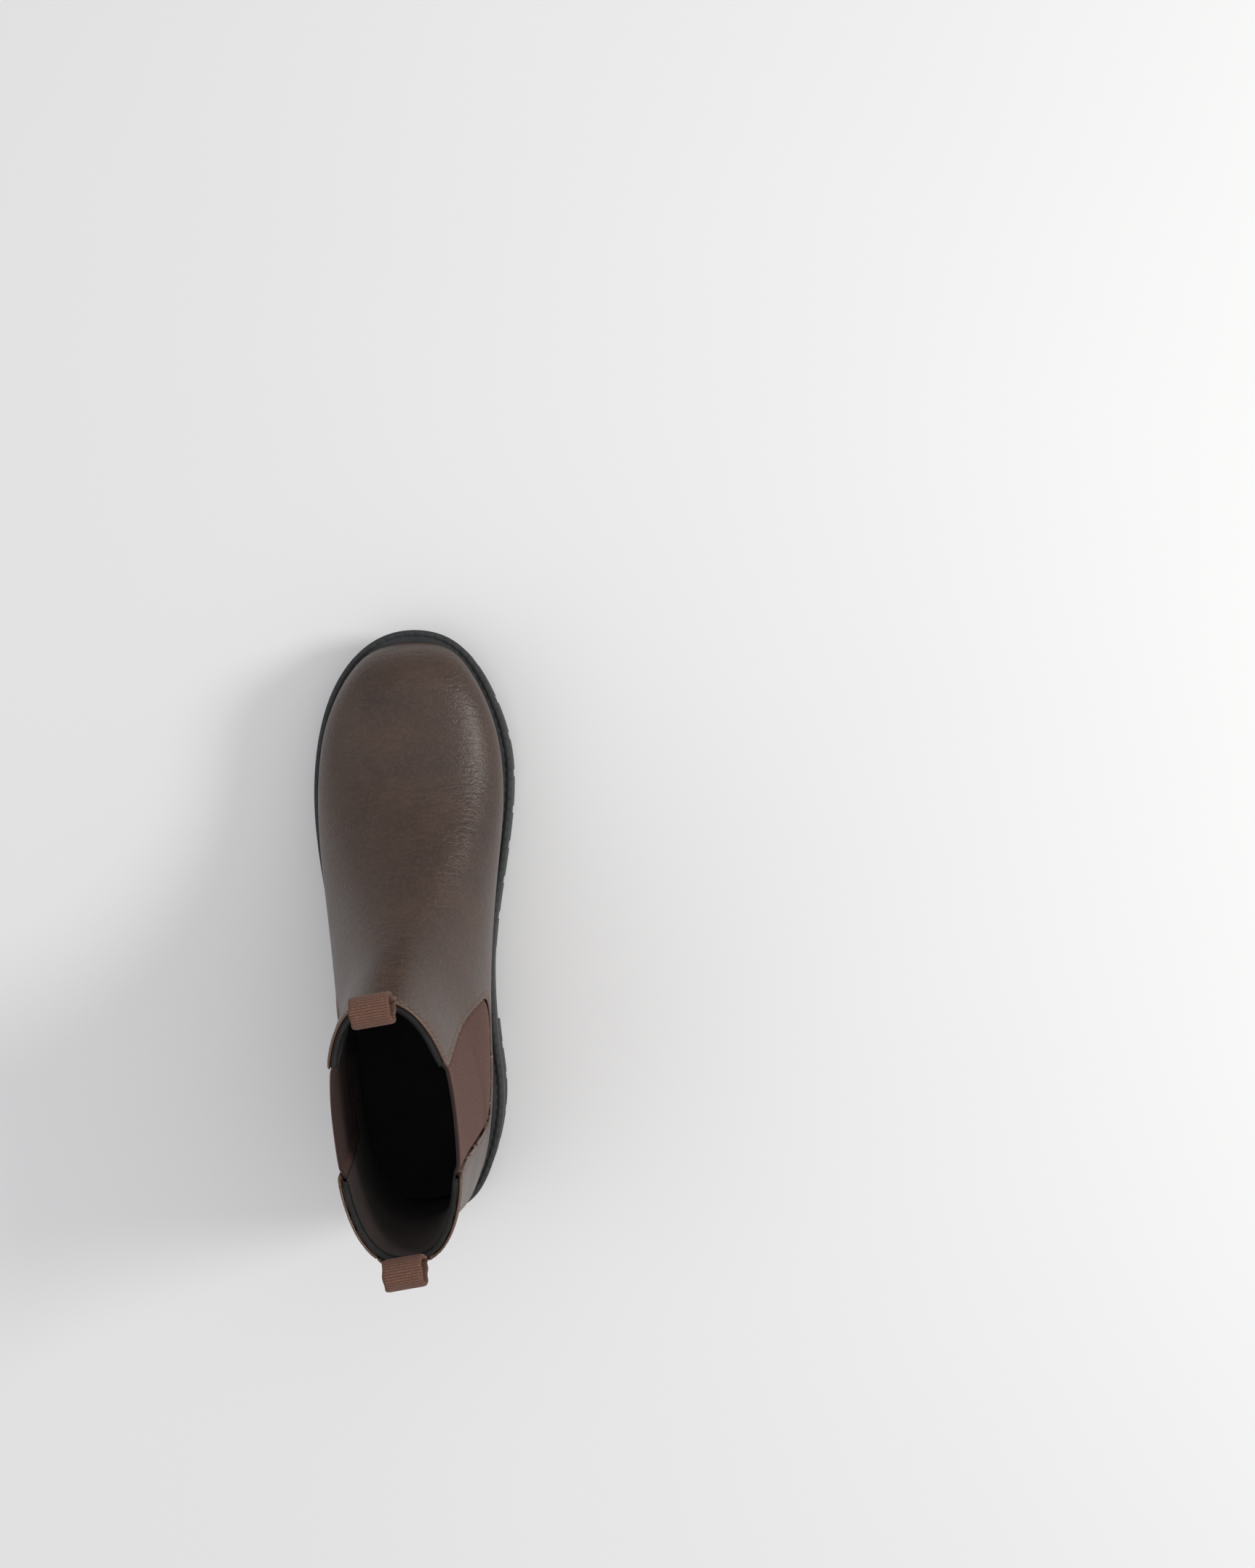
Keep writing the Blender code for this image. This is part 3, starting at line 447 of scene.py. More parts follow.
# ---------------------------------------------------------------- meshes


def add_object(name, data):
    body = bpy.data.objects.new(name, data)
    bpy.context.scene.collection.objects.link(body)
    return body


def add_mesh(name, vertices, faces):
    mesh = bpy.data.meshes.new(name)
    mesh.from_pydata([tuple(v) for v in vertices], [], faces)
    clean(mesh, 0.002 * MM, 0.001 * MM)
    mesh.shade_smooth()
    return add_object(name, mesh)


def clean(mesh, merge, shortest, close=False):
    """Merges points that coincide, drops the shortest edges, may close holes, and turns faces outwards."""
    edit = bmesh.new()
    edit.from_mesh(mesh)
    bmesh.ops.remove_doubles(edit, verts=edit.verts, dist=merge)
    bmesh.ops.dissolve_degenerate(edit, edges=edit.edges, dist=shortest)
    if close:
        bmesh.ops.holes_fill(edit, edges=[e for e in edit.edges if e.is_boundary], sides=0)
    bmesh.ops.recalc_face_normals(edit, faces=edit.faces)
    edit.to_mesh(mesh)
    edit.free()


def grid_faces(rows, columns, closed=False, start=0):
    """Quads over a grid of points; closed joins the last column to the first."""
    span = columns if closed else columns - 1
    return [
        (
            start + r * columns + c,
            start + (r + 1) * columns + c,
            start + (r + 1) * columns + (c + 1) % columns,
            start + r * columns + (c + 1) % columns,
        )
        for r in range(rows - 1)
        for c in range(span)
    ]


def ribbed_sheet(name, rows, columns, vertices, ribs):
    """A sheet with thickness, from the grid of its front followed by that of its back.

    ribs says for each point how far up a rib it stands, 0 to 1, which the materials read to paint shade in the
    gaps between the ribs."""
    count = rows * columns
    faces = grid_faces(rows, columns)
    faces += [tuple(reversed(face)) for face in grid_faces(rows, columns, start=count)]
    rim = [r * columns for r in range(rows)] + [(rows - 1) * columns + c for c in range(1, columns)]
    rim += [r * columns + columns - 1 for r in range(rows - 2, -1, -1)] + list(range(columns - 2, 0, -1))
    faces += [(a, b, b + count, a + count) for a, b in zip(rim, rim[1:] + rim[:1])]
    body = add_mesh(name, vertices, faces)
    ribbed = body.data.attributes.new("rib", "FLOAT", "POINT")
    ribbed.data.foreach_set("value", ribs)
    return body


def finish_piece(body, cad_node, material, on="boot"):
    """Gives a piece its material and its body, in place of a CAD node."""
    body.data.materials.clear()
    body.data.materials.append(material)
    if on:
        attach(body, on)
    if cad_node:
        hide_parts(cad_node)
    return body


# ---------------------------------------------------------------- panels of the upper


def nearest(points, starts, ends):
    """How far each point (a, b) lies from the nearest of some straight lines."""
    ahead = (ends - starts)[None]
    away = points[:, None] - starts[None]
    share = np.clip(np.sum(away * ahead, -1) / np.maximum(np.sum(ahead**2, -1), 1e-12), 0, 1)
    return np.sqrt(np.min(np.sum((away - ahead * share[..., None]) ** 2, -1), 1))


def signed_distance(points, outline):
    """How far each point (a, b) lies inside a closed outline; negative outside."""
    low, high = outline, np.roll(outline, -1, 0)
    distance = nearest(points, low, high)
    crosses = (low[None, :, 1] > points[:, None, 1]) != (high[None, :, 1] > points[:, None, 1])
    rise = np.where(high[:, 1] == low[:, 1], 1e-12, high[:, 1] - low[:, 1])
    at = low[None, :, 0] + (points[:, None, 1] - low[None, :, 1]) * ((high - low)[None, :, 0] / rise[None])
    inside = np.sum(crosses & (points[:, None, 0] < at), 1) % 2 == 1
    return np.where(inside, distance, -distance)


def inside_of(outline):
    """A region of the side view: how far points of the upper lie inside the outline."""
    return lambda points: signed_distance(points[:, 1:], outline)


def away_from(path):
    """How far points of the upper lie from an open line of the side view."""
    return lambda points: nearest(points[:, 1:], path[:-1], path[1:])


def vamp_region():
    """The vamp in the side view: ahead of the side seam and the elastic, under the front topline."""
    return rounded([
        (WAY_OUT, DEEP, 0),
        (WAY_OUT, FRONT_TOPLINE_END[1] + 120, 0),
        (*FRONT_TOPLINE_END, 0),
        FRONT_FLAP_CORNER,
        GORE[3],
        GORE[2],
        (*SEAM_TOP, 0),
        (SEAM_FOOT_Y, SEAM_LOW_Z, 0),
        (SEAM_END_Y, DEEP, 0),
    ])


def quarter_region():
    """Both quarters and the backstay in the side view: behind the side seam and the elastic."""
    return rounded([
        (-WAY_OUT, DEEP, 0),
        (SEAM_END_Y, DEEP, 0),
        (SEAM_FOOT_Y, SEAM_LOW_Z, 0),
        (*SEAM_TOP, 0),
        GORE[1],
        BACK_FLAP_CORNER,
        (-WAY_OUT, BACK_TOPLINE_Z, 0),
    ])


def front_double_path():
    """The edge of the vamp that carries two rows of stitches."""
    return rounded([(*FRONT_TOPLINE_END, 0), FRONT_FLAP_CORNER, GORE[3], GORE[2], (*SEAM_TOP, 0)])


def back_double_path():
    return rounded([(*SEAM_TOP, 0), GORE[1], BACK_FLAP_CORNER, (-WAY_OUT, BACK_TOPLINE_Z, 0)])


def side_seam_path():
    return np.array([SEAM_TOP, (SEAM_FOOT_Y, SEAM_LOW_Z), (SEAM_END_Y, DEEP)]) * MM


def backstay_region():
    """The backstay from behind (x, z)."""
    zs, halves = np.array(BACKSTAY_HALF_WIDTH, float).T * MM
    line_z = np.linspace(-20 * MM, 200 * MM, 120)
    half = np.interp(line_z, zs, halves)
    right = np.stack((BACKSTAY_X + half, line_z), 1)
    left = np.stack((BACKSTAY_X - half, line_z), 1)
    return np.vstack((right, left[::-1]))


def below_back_topline(points):
    return BACK_TOPLINE_Z * MM - points[:, 2]


def in_backstay(points):
    """How far each point lies inside the backstay's outline; only the back of the heel counts."""
    inside = signed_distance(points[:, [0, 2]], backstay_region())
    return np.where(points[:, 1] < BACKSTAY_FRONT_Y, inside, -FAR_AWAY)


def split_at(edit, fields, field, value):
    """Adds points and edges to a mesh where a field passes through value. Each point keeps all its fields."""
    layer = fields[field]
    near = 1e-8

    def above(vertex):
        gap = vertex[layer] - value
        return 0 if abs(gap) < near else math.copysign(1, gap)

    for edge in edit.edges:
        first, second = edge.verts
        if above(first) * above(second) < 0:
            share = (first[layer] - value) / (first[layer] - second[layer])
            if min(share, 1 - share) < SNAP_SHARE:
                (first if share < 0.5 else second)[layer] = value
    for edge in list(edit.edges):
        first, second = edge.verts
        if above(first) * above(second) < 0:
            share = (first[layer] - value) / (first[layer] - second[layer])
            kept = {l: first[l] * (1 - share) + second[l] * share for l in fields.values()}
            _, added = bmesh.utils.edge_split(edge, first, share)
            for l, amount in kept.items():
                added[l] = amount
            added[layer] = value
    for face in list(edit.faces):
        around = [above(v) for v in face.verts]
        if 1 not in around or -1 not in around:
            continue
        turns = len(around)
        ends = [
            v for k, v in enumerate(face.verts)
            if around[k] == 0 and -1 in (around[k - 1], around[(k + 1) % turns])
        ]
        if len(ends) == 2:
            bmesh.utils.face_split(face, *ends)


def profile(steps, distance):
    """The height, in metres, of a profile given in millimetres, at distances in metres."""
    at, height = np.array(steps, float).T * MM
    return np.interp(distance, at, height)


def chains(vertices, keep):
    """Polylines through the edges of a mesh whose two ends are both kept."""
    near = {v: [e.other_vert(v) for e in v.link_edges if e.other_vert(v) in keep] for v in vertices}
    left = set(vertices)
    lines = []
    while left:
        start = next((v for v in left if len(near[v]) == 1), None) or next(iter(left))
        line = [start]
        left.discard(start)
        while True:
            following = next((v for v in near[line[-1]] if v in left), None)
            if following is None:
                break
            line.append(following)
            left.discard(following)
        if len(line) > 3:
            lines.append(line)
    return lines


class Panel:
    """A trimmed sheet of the upper's surface. Each point keeps its distance from the panel's edges."""

    def __init__(self, grid, normals, regions, depth=0.0):
        edge = np.min([region(grid.reshape(-1, 3)) for region in regions], 0)
        self.edit = bmesh.new()
        self.fields = {"edge": self.edit.verts.layers.float.new("edge")}
        self.normal = self.edit.verts.layers.float_vector.new("outward")
        offset = (grid - normals * depth).reshape(-1, 3)
        flat_normals = normals.reshape(-1, 3)
        made = {}
        for k in np.nonzero(edge > -PANEL_MARGIN)[0]:
            vertex = self.edit.verts.new(offset[k])
            vertex[self.fields["edge"]] = edge[k]
            vertex[self.normal] = flat_normals[k]
            made[int(k)] = vertex
        for quad in grid_faces(*grid.shape[:2]):
            if all(k in made for k in quad):
                self.edit.faces.new([made[k] for k in quad])
        bmesh.ops.remove_doubles(self.edit, verts=self.edit.verts, dist=0.003 * MM)
        loose = [v for v in self.edit.verts if not v.link_faces]
        bmesh.ops.delete(self.edit, geom=loose, context="VERTS")

    def add_field(self, name, distance):
        """Keeps another distance at every point: distance takes the points and gives one number for each."""
        layer = self.edit.verts.layers.float.new(name)
        self.fields[name] = layer
        amounts = distance(np.array([v.co for v in self.edit.verts]))
        for vertex, amount in zip(self.edit.verts, amounts):
            vertex[layer] = amount

    def trim(self):
        split_at(self.edit, self.fields, "edge", 0.0)
        layer = self.fields["edge"]
        outside = [v for v in self.edit.verts if v[layer] < 0]
        bmesh.ops.delete(self.edit, geom=outside, context="VERTS")

    def refine(self, field, steps):
        for at, _ in steps:
            if at > 0:
                split_at(self.edit, self.fields, field, at * MM)

    def raise_by(self, field, steps):
        layer = self.fields[field]
        distance = np.array([v[layer] for v in self.edit.verts])
        for vertex, height in zip(self.edit.verts, profile(steps, distance)):
            vertex.co += vertex[self.normal] * height

    def rows_of_stitches(self, field, distance):
        """Polylines of (point, normal) on the surface at one distance from the edge."""
        layer = self.fields[field]
        keep = {v for v in self.edit.verts if abs(v[layer] - distance) < 1e-8}
        return [
            [(v.co.copy(), Vector(v[self.normal]).normalized()) for v in line]
            for line in chains(list(keep), keep)
        ]

    def to_object(self, name, thickness, wear=1.2 * MM):
        """The panel as an object with thickness. The attribute worn is 1 along its edges and 0 inside."""
        self.edit.normal_update()
        middle = sum((f.normal.dot(Vector(f.verts[0][self.normal])) for f in self.edit.faces), 0.0)
        if middle < 0:
            bmesh.ops.reverse_faces(self.edit, faces=self.edit.faces)
        layer = self.fields["edge"]
        amounts = [max(0.0, 1 - v[layer] / wear) for v in self.edit.verts]
        mesh = bpy.data.meshes.new(name)
        self.edit.to_mesh(mesh)
        self.edit.free()
        worn = mesh.attributes.new("worn", "FLOAT", "POINT")
        worn.data.foreach_set("value", amounts)
        mesh.shade_smooth()
        body = add_object(name, mesh)
        solid = body.modifiers.new("thickness", "SOLIDIFY")
        solid.thickness = thickness
        solid.offset = -1
        return body


# ---------------------------------------------------------------- stitches


def even_places(line, pitch):
    """Places along a polyline of (point, normal), pitch apart: (point, direction, normal)."""
    points = np.array([p for p, _ in line])
    normals = np.array([n for _, n in line])
    lengths = run_lengths(points)
    count = int(lengths[-1] / pitch)
    places = []
    for k in range(count):
        at = (k + 0.5) * pitch + (lengths[-1] - count * pitch) / 2
        start, end = (read_along(at + reach, lengths, points) for reach in (-0.4 * MM, 0.4 * MM))
        normal = read_along(at, lengths, normals)
        places.append((
            Vector((start + end) / 2), Vector(end - start).normalized(), Vector(normal).normalized()))
    return places


def stitches(name, rows, pitch, material, thread=0.34 * MM, fill=0.80):
    """Short lengths of thread along rows, each dipping into the leather at both ends."""
    vertices, faces = [], []
    for line in rows:
        for middle, along, up in even_places(line, pitch):
            across = along.cross(up).normalized()
            first = len(vertices)
            for reach, girth, height in STITCH_SHAPE:
                centre = middle + along * (reach * fill * pitch / 2) + up * (height * MM)
                for k in range(STITCH_SIDES):
                    angle = 2 * math.pi * k / STITCH_SIDES
                    out = across * math.cos(angle) + up * math.sin(angle) * 0.8
                    vertices.append(centre + out * thread * girth)
            faces += grid_faces(len(STITCH_SHAPE), STITCH_SIDES, True, first)
            last = first + (len(STITCH_SHAPE) - 1) * STITCH_SIDES
            faces.append(tuple(range(first, first + STITCH_SIDES)))
            faces.append(tuple(range(last, last + STITCH_SIDES))[::-1])
    body = add_mesh(name, vertices, faces)
    body.data.materials.append(material)
    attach(body, "boot")


# ---------------------------------------------------------------- materials


def material(name, roughness, coat=0.0, sheen=0.0):
    made = bpy.data.materials.new(name)
    made.use_nodes = True
    shader = made.node_tree.nodes["Principled BSDF"]
    shader.inputs["Roughness"].default_value = roughness
    shader.inputs["Coat Weight"].default_value = coat
    shader.inputs["Sheen Weight"].default_value = sheen
    return made


class Nodes:
    """Short calls for the nodes of one material."""

    def __init__(self, made):
        self.tree = made.node_tree
        self.shader = self.tree.nodes["Principled BSDF"]
        self.place = self.tree.nodes.new("ShaderNodeTexCoord").outputs["Object"]

    def link(self, socket, value):
        if isinstance(value, bpy.types.NodeSocket):
            self.tree.links.new(value, socket)
        else:
            socket.default_value = value

    def mapped(self, scale, turn=(0, 0, 0)):
        node = self.tree.nodes.new("ShaderNodeMapping")
        self.link(node.inputs["Vector"], self.place)
        node.inputs["Scale"].default_value = scale
        node.inputs["Rotation"].default_value = turn
        return node.outputs["Vector"]

    def noise(self, scale, detail=3.0, rough=0.5, vector=None, distortion=0.0):
        node = self.tree.nodes.new("ShaderNodeTexNoise")
        self.link(node.inputs["Vector"], vector or self.place)
        node.inputs["Scale"].default_value = scale
        node.inputs["Detail"].default_value = detail
        node.inputs["Roughness"].default_value = rough
        node.inputs["Distortion"].default_value = distortion
        return node.outputs["Fac"]

    def warped(self, reach, scale):
        """The object's coordinates pushed about by noise, so that cells lose their straight sides."""
        noise = self.tree.nodes.new("ShaderNodeTexNoise")
        self.link(noise.inputs["Vector"], self.place)
        noise.inputs["Scale"].default_value = scale
        noise.inputs["Detail"].default_value = 2
        push = self.tree.nodes.new("ShaderNodeVectorMath")
        push.operation = "MULTIPLY_ADD"
        self.link(push.inputs[0], noise.outputs["Color"])
        push.inputs[1].default_value = (reach, reach, reach)
        self.link(push.inputs[2], self.place)
        return push.outputs["Vector"]

    def cells(self, scale, feature="F1", vector=None, randomness=1.0):
        node = self.tree.nodes.new("ShaderNodeTexVoronoi")
        node.feature = feature
        self.link(node.inputs["Vector"], vector or self.place)
        node.inputs["Scale"].default_value = scale
        node.inputs["Randomness"].default_value = randomness
        return node.outputs["Distance"]

    def spread(self, value, low, high, to_low=0.0, to_high=1.0):
        node = self.tree.nodes.new("ShaderNodeMapRange")
        self.link(node.inputs["Value"], value)
        for socket, amount in zip(("From Min", "From Max", "To Min", "To Max"), (low, high, to_low, to_high)):
            node.inputs[socket].default_value = amount
        return node.outputs["Result"]

    def math(self, operation, first, second):
        node = self.tree.nodes.new("ShaderNodeMath")
        node.operation = operation
        self.link(node.inputs[0], first)
        self.link(node.inputs[1], second)
        return node.outputs["Value"]

    def mix(self, share, first, second):
        node = self.tree.nodes.new("ShaderNodeMix")
        node.data_type = "RGBA"
        self.link(node.inputs["Factor"], share)
        for socket, value in ((node.inputs["A"], first), (node.inputs["B"], second)):
            self.link(socket, value if isinstance(value, bpy.types.NodeSocket) else (*value, 1))
        return node.outputs["Result"]

    def attribute(self, name):
        node = self.tree.nodes.new("ShaderNodeAttribute")
        node.attribute_name = name
        return node.outputs["Fac"]

    def bump(self, height, distance, strength=1.0, under=None):
        node = self.tree.nodes.new("ShaderNodeBump")
        self.link(node.inputs["Height"], height)
        node.inputs["Distance"].default_value = distance
        node.inputs["Strength"].default_value = strength
        if under is not None:
            self.link(node.inputs["Normal"], under)
        return node.outputs["Normal"]

    def finish(self, colour=None, roughness=None, normal=None):
        if colour is not None:
            self.link(self.shader.inputs["Base Color"], colour)
        if roughness is not None:
            self.link(self.shader.inputs["Roughness"], roughness)
        if normal is not None:
            self.link(self.shader.inputs["Normal"], normal)


def leather_material(name, dark, middle, light, edge):
    """Pebbled, lightly waxed leather: fine grain and wavy creases with painted shade in their hollows, cloudy
    tone, paler rolled edges.
    """
    made = material(name, 0.42, coat=0.10)
    made.node_tree.nodes["Principled BSDF"].inputs["Coat Roughness"].default_value = 0.30
    n = Nodes(made)
    pebbles = n.cells(1050, "SMOOTH_F1", n.warped(0.0006, 420))
    grain = n.spread(pebbles, 0.1, 0.75, 1.0, 0.0)
    fine = n.noise(3000, 4, 0.6)
    broad = n.noise(34, 4, 0.6)
    creases = n.noise(260, 4, 0.55, n.mapped((0.45, 1.6, 1.3), (0.35, 0.1, 0.35)), 0.6)
    crease = n.spread(creases, 0.40, 0.58)
    tone = n.mix(n.spread(broad, 0.3, 0.72), dark, middle)
    tone = n.mix(n.math("MULTIPLY", n.spread(n.noise(520, 3, 0.7), 0.45, 0.8), 0.4), tone, light)
    # Painted shade: darker in the valleys between the grain's pebbles.
    tone = n.mix(n.math("MULTIPLY", n.math("SUBTRACT", 1.0, grain), 0.35), tone, dark)
    # Painted shade: darker in the furrows of the creases.
    tone = n.mix(n.math("MULTIPLY", n.math("SUBTRACT", 1.0, crease), 0.25), tone, dark)
    tone = n.mix(n.math("MULTIPLY", n.attribute("worn"), 0.55), tone, edge)
    first = n.bump(crease, 0.00022, 0.55)
    second = n.bump(grain, 0.00016, 0.7, first)
    third = n.bump(fine, 0.00006, 0.5, second)
    n.finish(tone, n.spread(n.math("ADD", broad, n.math("MULTIPLY", fine, 0.4)), 0.4, 1.0, 0.33, 0.5), third)
    return made


def elastic_material(name, dark, middle, fleck):
    """Woven elastic: yarns across the ribs, with paler flecks, and painted shade in the gaps between the ribs."""
    made = material(name, 0.85, sheen=0.04)
    n = Nodes(made)
    yarns = n.noise(900, 2, 0.5, n.mapped((1, 1.0, 0.35)))
    flecks = n.spread(n.noise(2600, 2, 0.6), 0.55, 0.75)
    # Painted shade: dark in the gaps between the ribs, the middle tone on their crests.
    tone = n.mix(n.spread(n.attribute("rib"), 0.15, 0.8), dark, middle)
    tone = n.mix(n.math("MULTIPLY", flecks, n.spread(n.attribute("rib"), 0.3, 0.9)), tone, fleck)
    n.finish(tone, 0.85, n.bump(yarns, 0.00018, 0.8))
    return made


def weave_material(name, dark, light, scale, sheen):
    """A plain woven or brushed textile."""
    made = material(name, 0.9, sheen=sheen)
    n = Nodes(made)
    threads = n.cells(scale, "F1", None, 0.6)
    cloud = n.noise(55, 3, 0.6)
    fuzz = n.noise(scale * 1.6, 3, 0.6)
    tone = n.mix(n.spread(cloud, 0.3, 0.7), dark, light)
    tone = n.mix(n.math("MULTIPLY", n.spread(threads, 0.2, 0.8), 0.5), tone, dark)
    n.finish(tone, 0.9, n.bump(n.math("ADD", threads, fuzz), 0.00012, 0.8))
    return made


def ribbon_material(name, dark, middle, light):
    """Grosgrain ribbon: painted shade in the gaps between ribs, fine warp threads over them."""
    made = material(name, 0.8, sheen=0.05)
    n = Nodes(made)
    rib = n.attribute("rib")
    # Painted shade: dark in the gaps between the ribs, the middle tone on their crests.
    tone = n.mix(n.spread(rib, 0.1, 0.65), dark, middle)
    tone = n.mix(n.math("MULTIPLY", n.spread(n.noise(1700, 2, 0.6), 0.5, 0.75), rib), tone, light)
    n.finish(tone, 0.8, n.bump(n.noise(2200, 2, 0.5, n.mapped((1.6, 0.5, 0.5))), 0.00012, 0.7))
    return made


def rubber_material(name, dark, light):
    """Moulded rubber with fine streaks along the boot and a dusty bloom."""
    made = material(name, 0.72)
    n = Nodes(made)
    lines = n.noise(1500, 3, 0.6, n.mapped((1.0, 0.06, 1.0)))
    grain = n.noise(3200, 2, 0.5)
    bloom = n.noise(42, 4, 0.6)
    tone = n.mix(n.spread(bloom, 0.3, 0.75), dark, light)
    tone = n.mix(n.math("MULTIPLY", n.spread(lines, 0.5, 0.8), 0.4), tone, light)
    first = n.bump(lines, 0.00018, 0.7)
    n.finish(tone, n.spread(grain, 0.3, 0.7, 0.6, 0.82), n.bump(grain, 0.00005, 0.6, first))
    return made


def thread_material(name, dark, light):
    made = material(name, 0.6, sheen=0.05)
    n = Nodes(made)
    twist = n.noise(3000, 2, 0.5, n.mapped((1, 0.6, 1), (0.6, 0.3, 0.7)))
    n.finish(n.mix(n.spread(twist, 0.35, 0.65), dark, light), None, n.bump(twist, 0.00008, 0.8))
    return made


def plain_material(name, dark, light, scale, roughness, metallic=0.0, depth=0.0001):
    """For what is sealed inside: a mottled solid with a fine surface."""
    made = material(name, roughness)
    made.node_tree.nodes["Principled BSDF"].inputs["Metallic"].default_value = metallic
    n = Nodes(made)
    mottle = n.noise(scale, 4, 0.6)
    tone = n.mix(n.spread(mottle, 0.3, 0.7), dark, light)
    n.finish(tone, None, n.bump(n.noise(scale * 5, 3, 0.6), depth, 0.7))
    return made


MATERIALS = {
    "leather": leather_material(
        "leather", (0.026, 0.0105, 0.0050), (0.064, 0.031, 0.0165), (0.120, 0.069, 0.042),
        (0.155, 0.090, 0.058)),
    "elastic": elastic_material("elastic", (0.020, 0.007, 0.005), (0.086, 0.038, 0.028), (0.23, 0.13, 0.105)),
    "ribbon": ribbon_material("ribbon", (0.012, 0.004, 0.003), (0.125, 0.054, 0.032), (0.23, 0.12, 0.085)),
    "rubber": rubber_material("rubber", (0.022, 0.023, 0.024), (0.052, 0.054, 0.055)),
    "welt_rubber": rubber_material("welt_rubber", (0.012, 0.013, 0.014), (0.032, 0.034, 0.036)),
    "black_lining": weave_material("black_lining", (0.006, 0.006, 0.007), (0.018, 0.018, 0.019), 1500, 0.02),
    "sock": weave_material("sock", (0.006, 0.006, 0.006), (0.016, 0.016, 0.017), 1100, 0.02),
    "brown_lining": weave_material("brown_lining", (0.018, 0.010, 0.008), (0.042, 0.025, 0.019), 2300, 0.04),
    "edge_tape": weave_material("edge_tape", (0.007, 0.007, 0.007), (0.022, 0.022, 0.023), 1900, 0.02),
    "brown_thread": thread_material("brown_thread", (0.085, 0.047, 0.032), (0.22, 0.14, 0.10)),
    "tan_thread": thread_material("tan_thread", (0.20, 0.125, 0.085), (0.38, 0.26, 0.19)),
    "dark_thread": thread_material("dark_thread", (0.010, 0.010, 0.011), (0.035, 0.035, 0.037)),
    "cork": plain_material("cork", (0.30, 0.17, 0.08), (0.55, 0.36, 0.20), 600, 0.9),
    "board": plain_material("board", (0.36, 0.26, 0.15), (0.48, 0.36, 0.23), 300, 0.85),
    "foam": plain_material("foam", (0.44, 0.42, 0.36), (0.56, 0.54, 0.48), 900, 0.95),
    "thermoplastic": plain_material("thermoplastic", (0.58, 0.54, 0.46), (0.66, 0.63, 0.56), 200, 0.6),
    "steel": plain_material("steel", (0.42, 0.43, 0.44), (0.58, 0.59, 0.60), 400, 0.35, 1.0, 0.00002),
}


# ---------------------------------------------------------------- the upper


def make_leather(grid, normals):
    """The four leather panels, with rolled edges, sunken rows of stitches, and the thread."""
    double, single = [], []

    def finish(panel, node):
        finish_piece(panel.to_object(f"{node}_leather", LEATHER), node, MATERIALS["leather"])

    vamp = Panel(grid, normals, [inside_of(vamp_region())])
    vamp.add_field("double", away_from(front_double_path()))
    double += dress_panel(vamp, "double", DOUBLE_ROW)
    finish(vamp, "vamp")
    for side, sign in SIDES.items():
        quarter = Panel(grid, normals, [
            inside_of(quarter_region()),
            lambda p: -in_backstay(p),
            lambda p: (p[:, 0] - COLLAR_MIDDLE[0]) * sign,
        ])
        quarter.add_field("double", away_from(back_double_path()))
        quarter.add_field("seam", away_from(side_seam_path()))
        double += dress_panel(quarter, "double", DOUBLE_ROW)
        quarter.refine("seam", SINGLE_ROW)
        quarter.raise_by("seam", SINGLE_ROW)
        single += quarter.rows_of_stitches("seam", ROW_FROM_EDGE)
        finish(quarter, f"quarter_{side}")
    backstay = Panel(grid, normals, [in_backstay, below_back_topline])
    backstay.add_field("side", in_backstay)
    backstay.add_field("double", below_back_topline)
    dress_panel(backstay, "double", DOUBLE_ROW, rows=False)
    backstay.refine("side", SINGLE_ROW)
    backstay.raise_by("side", BACKSTAY_STEP)
    backstay.raise_by("side", SINGLE_ROW)
    single += backstay.rows_of_stitches("side", ROW_FROM_EDGE)
    double += double_rows(backstay, "double")
    finish(backstay, "backstay")
    stitches("double_row_stitches", double, DOUBLE_PITCH, MATERIALS["brown_thread"])
    stitches("seam_stitches", single, SINGLE_PITCH, MATERIALS["tan_thread"], 0.26 * MM, 0.78)


def dress_panel(panel, field, steps, rows=True):
    """Trims a panel, rolls its edge and sinks the rows of stitches along one of its fields."""
    panel.trim()
    panel.refine("edge", EDGE_ROLL)
    panel.refine(field, steps)
    panel.raise_by("edge", EDGE_ROLL)
    panel.raise_by(field, steps)
    return double_rows(panel, field) if rows else []


def double_rows(panel, field):
    lines = panel.rows_of_stitches(field, ROW_FROM_EDGE)
    return lines + panel.rows_of_stitches(field, ROW_FROM_EDGE + ROW_TO_ROW)


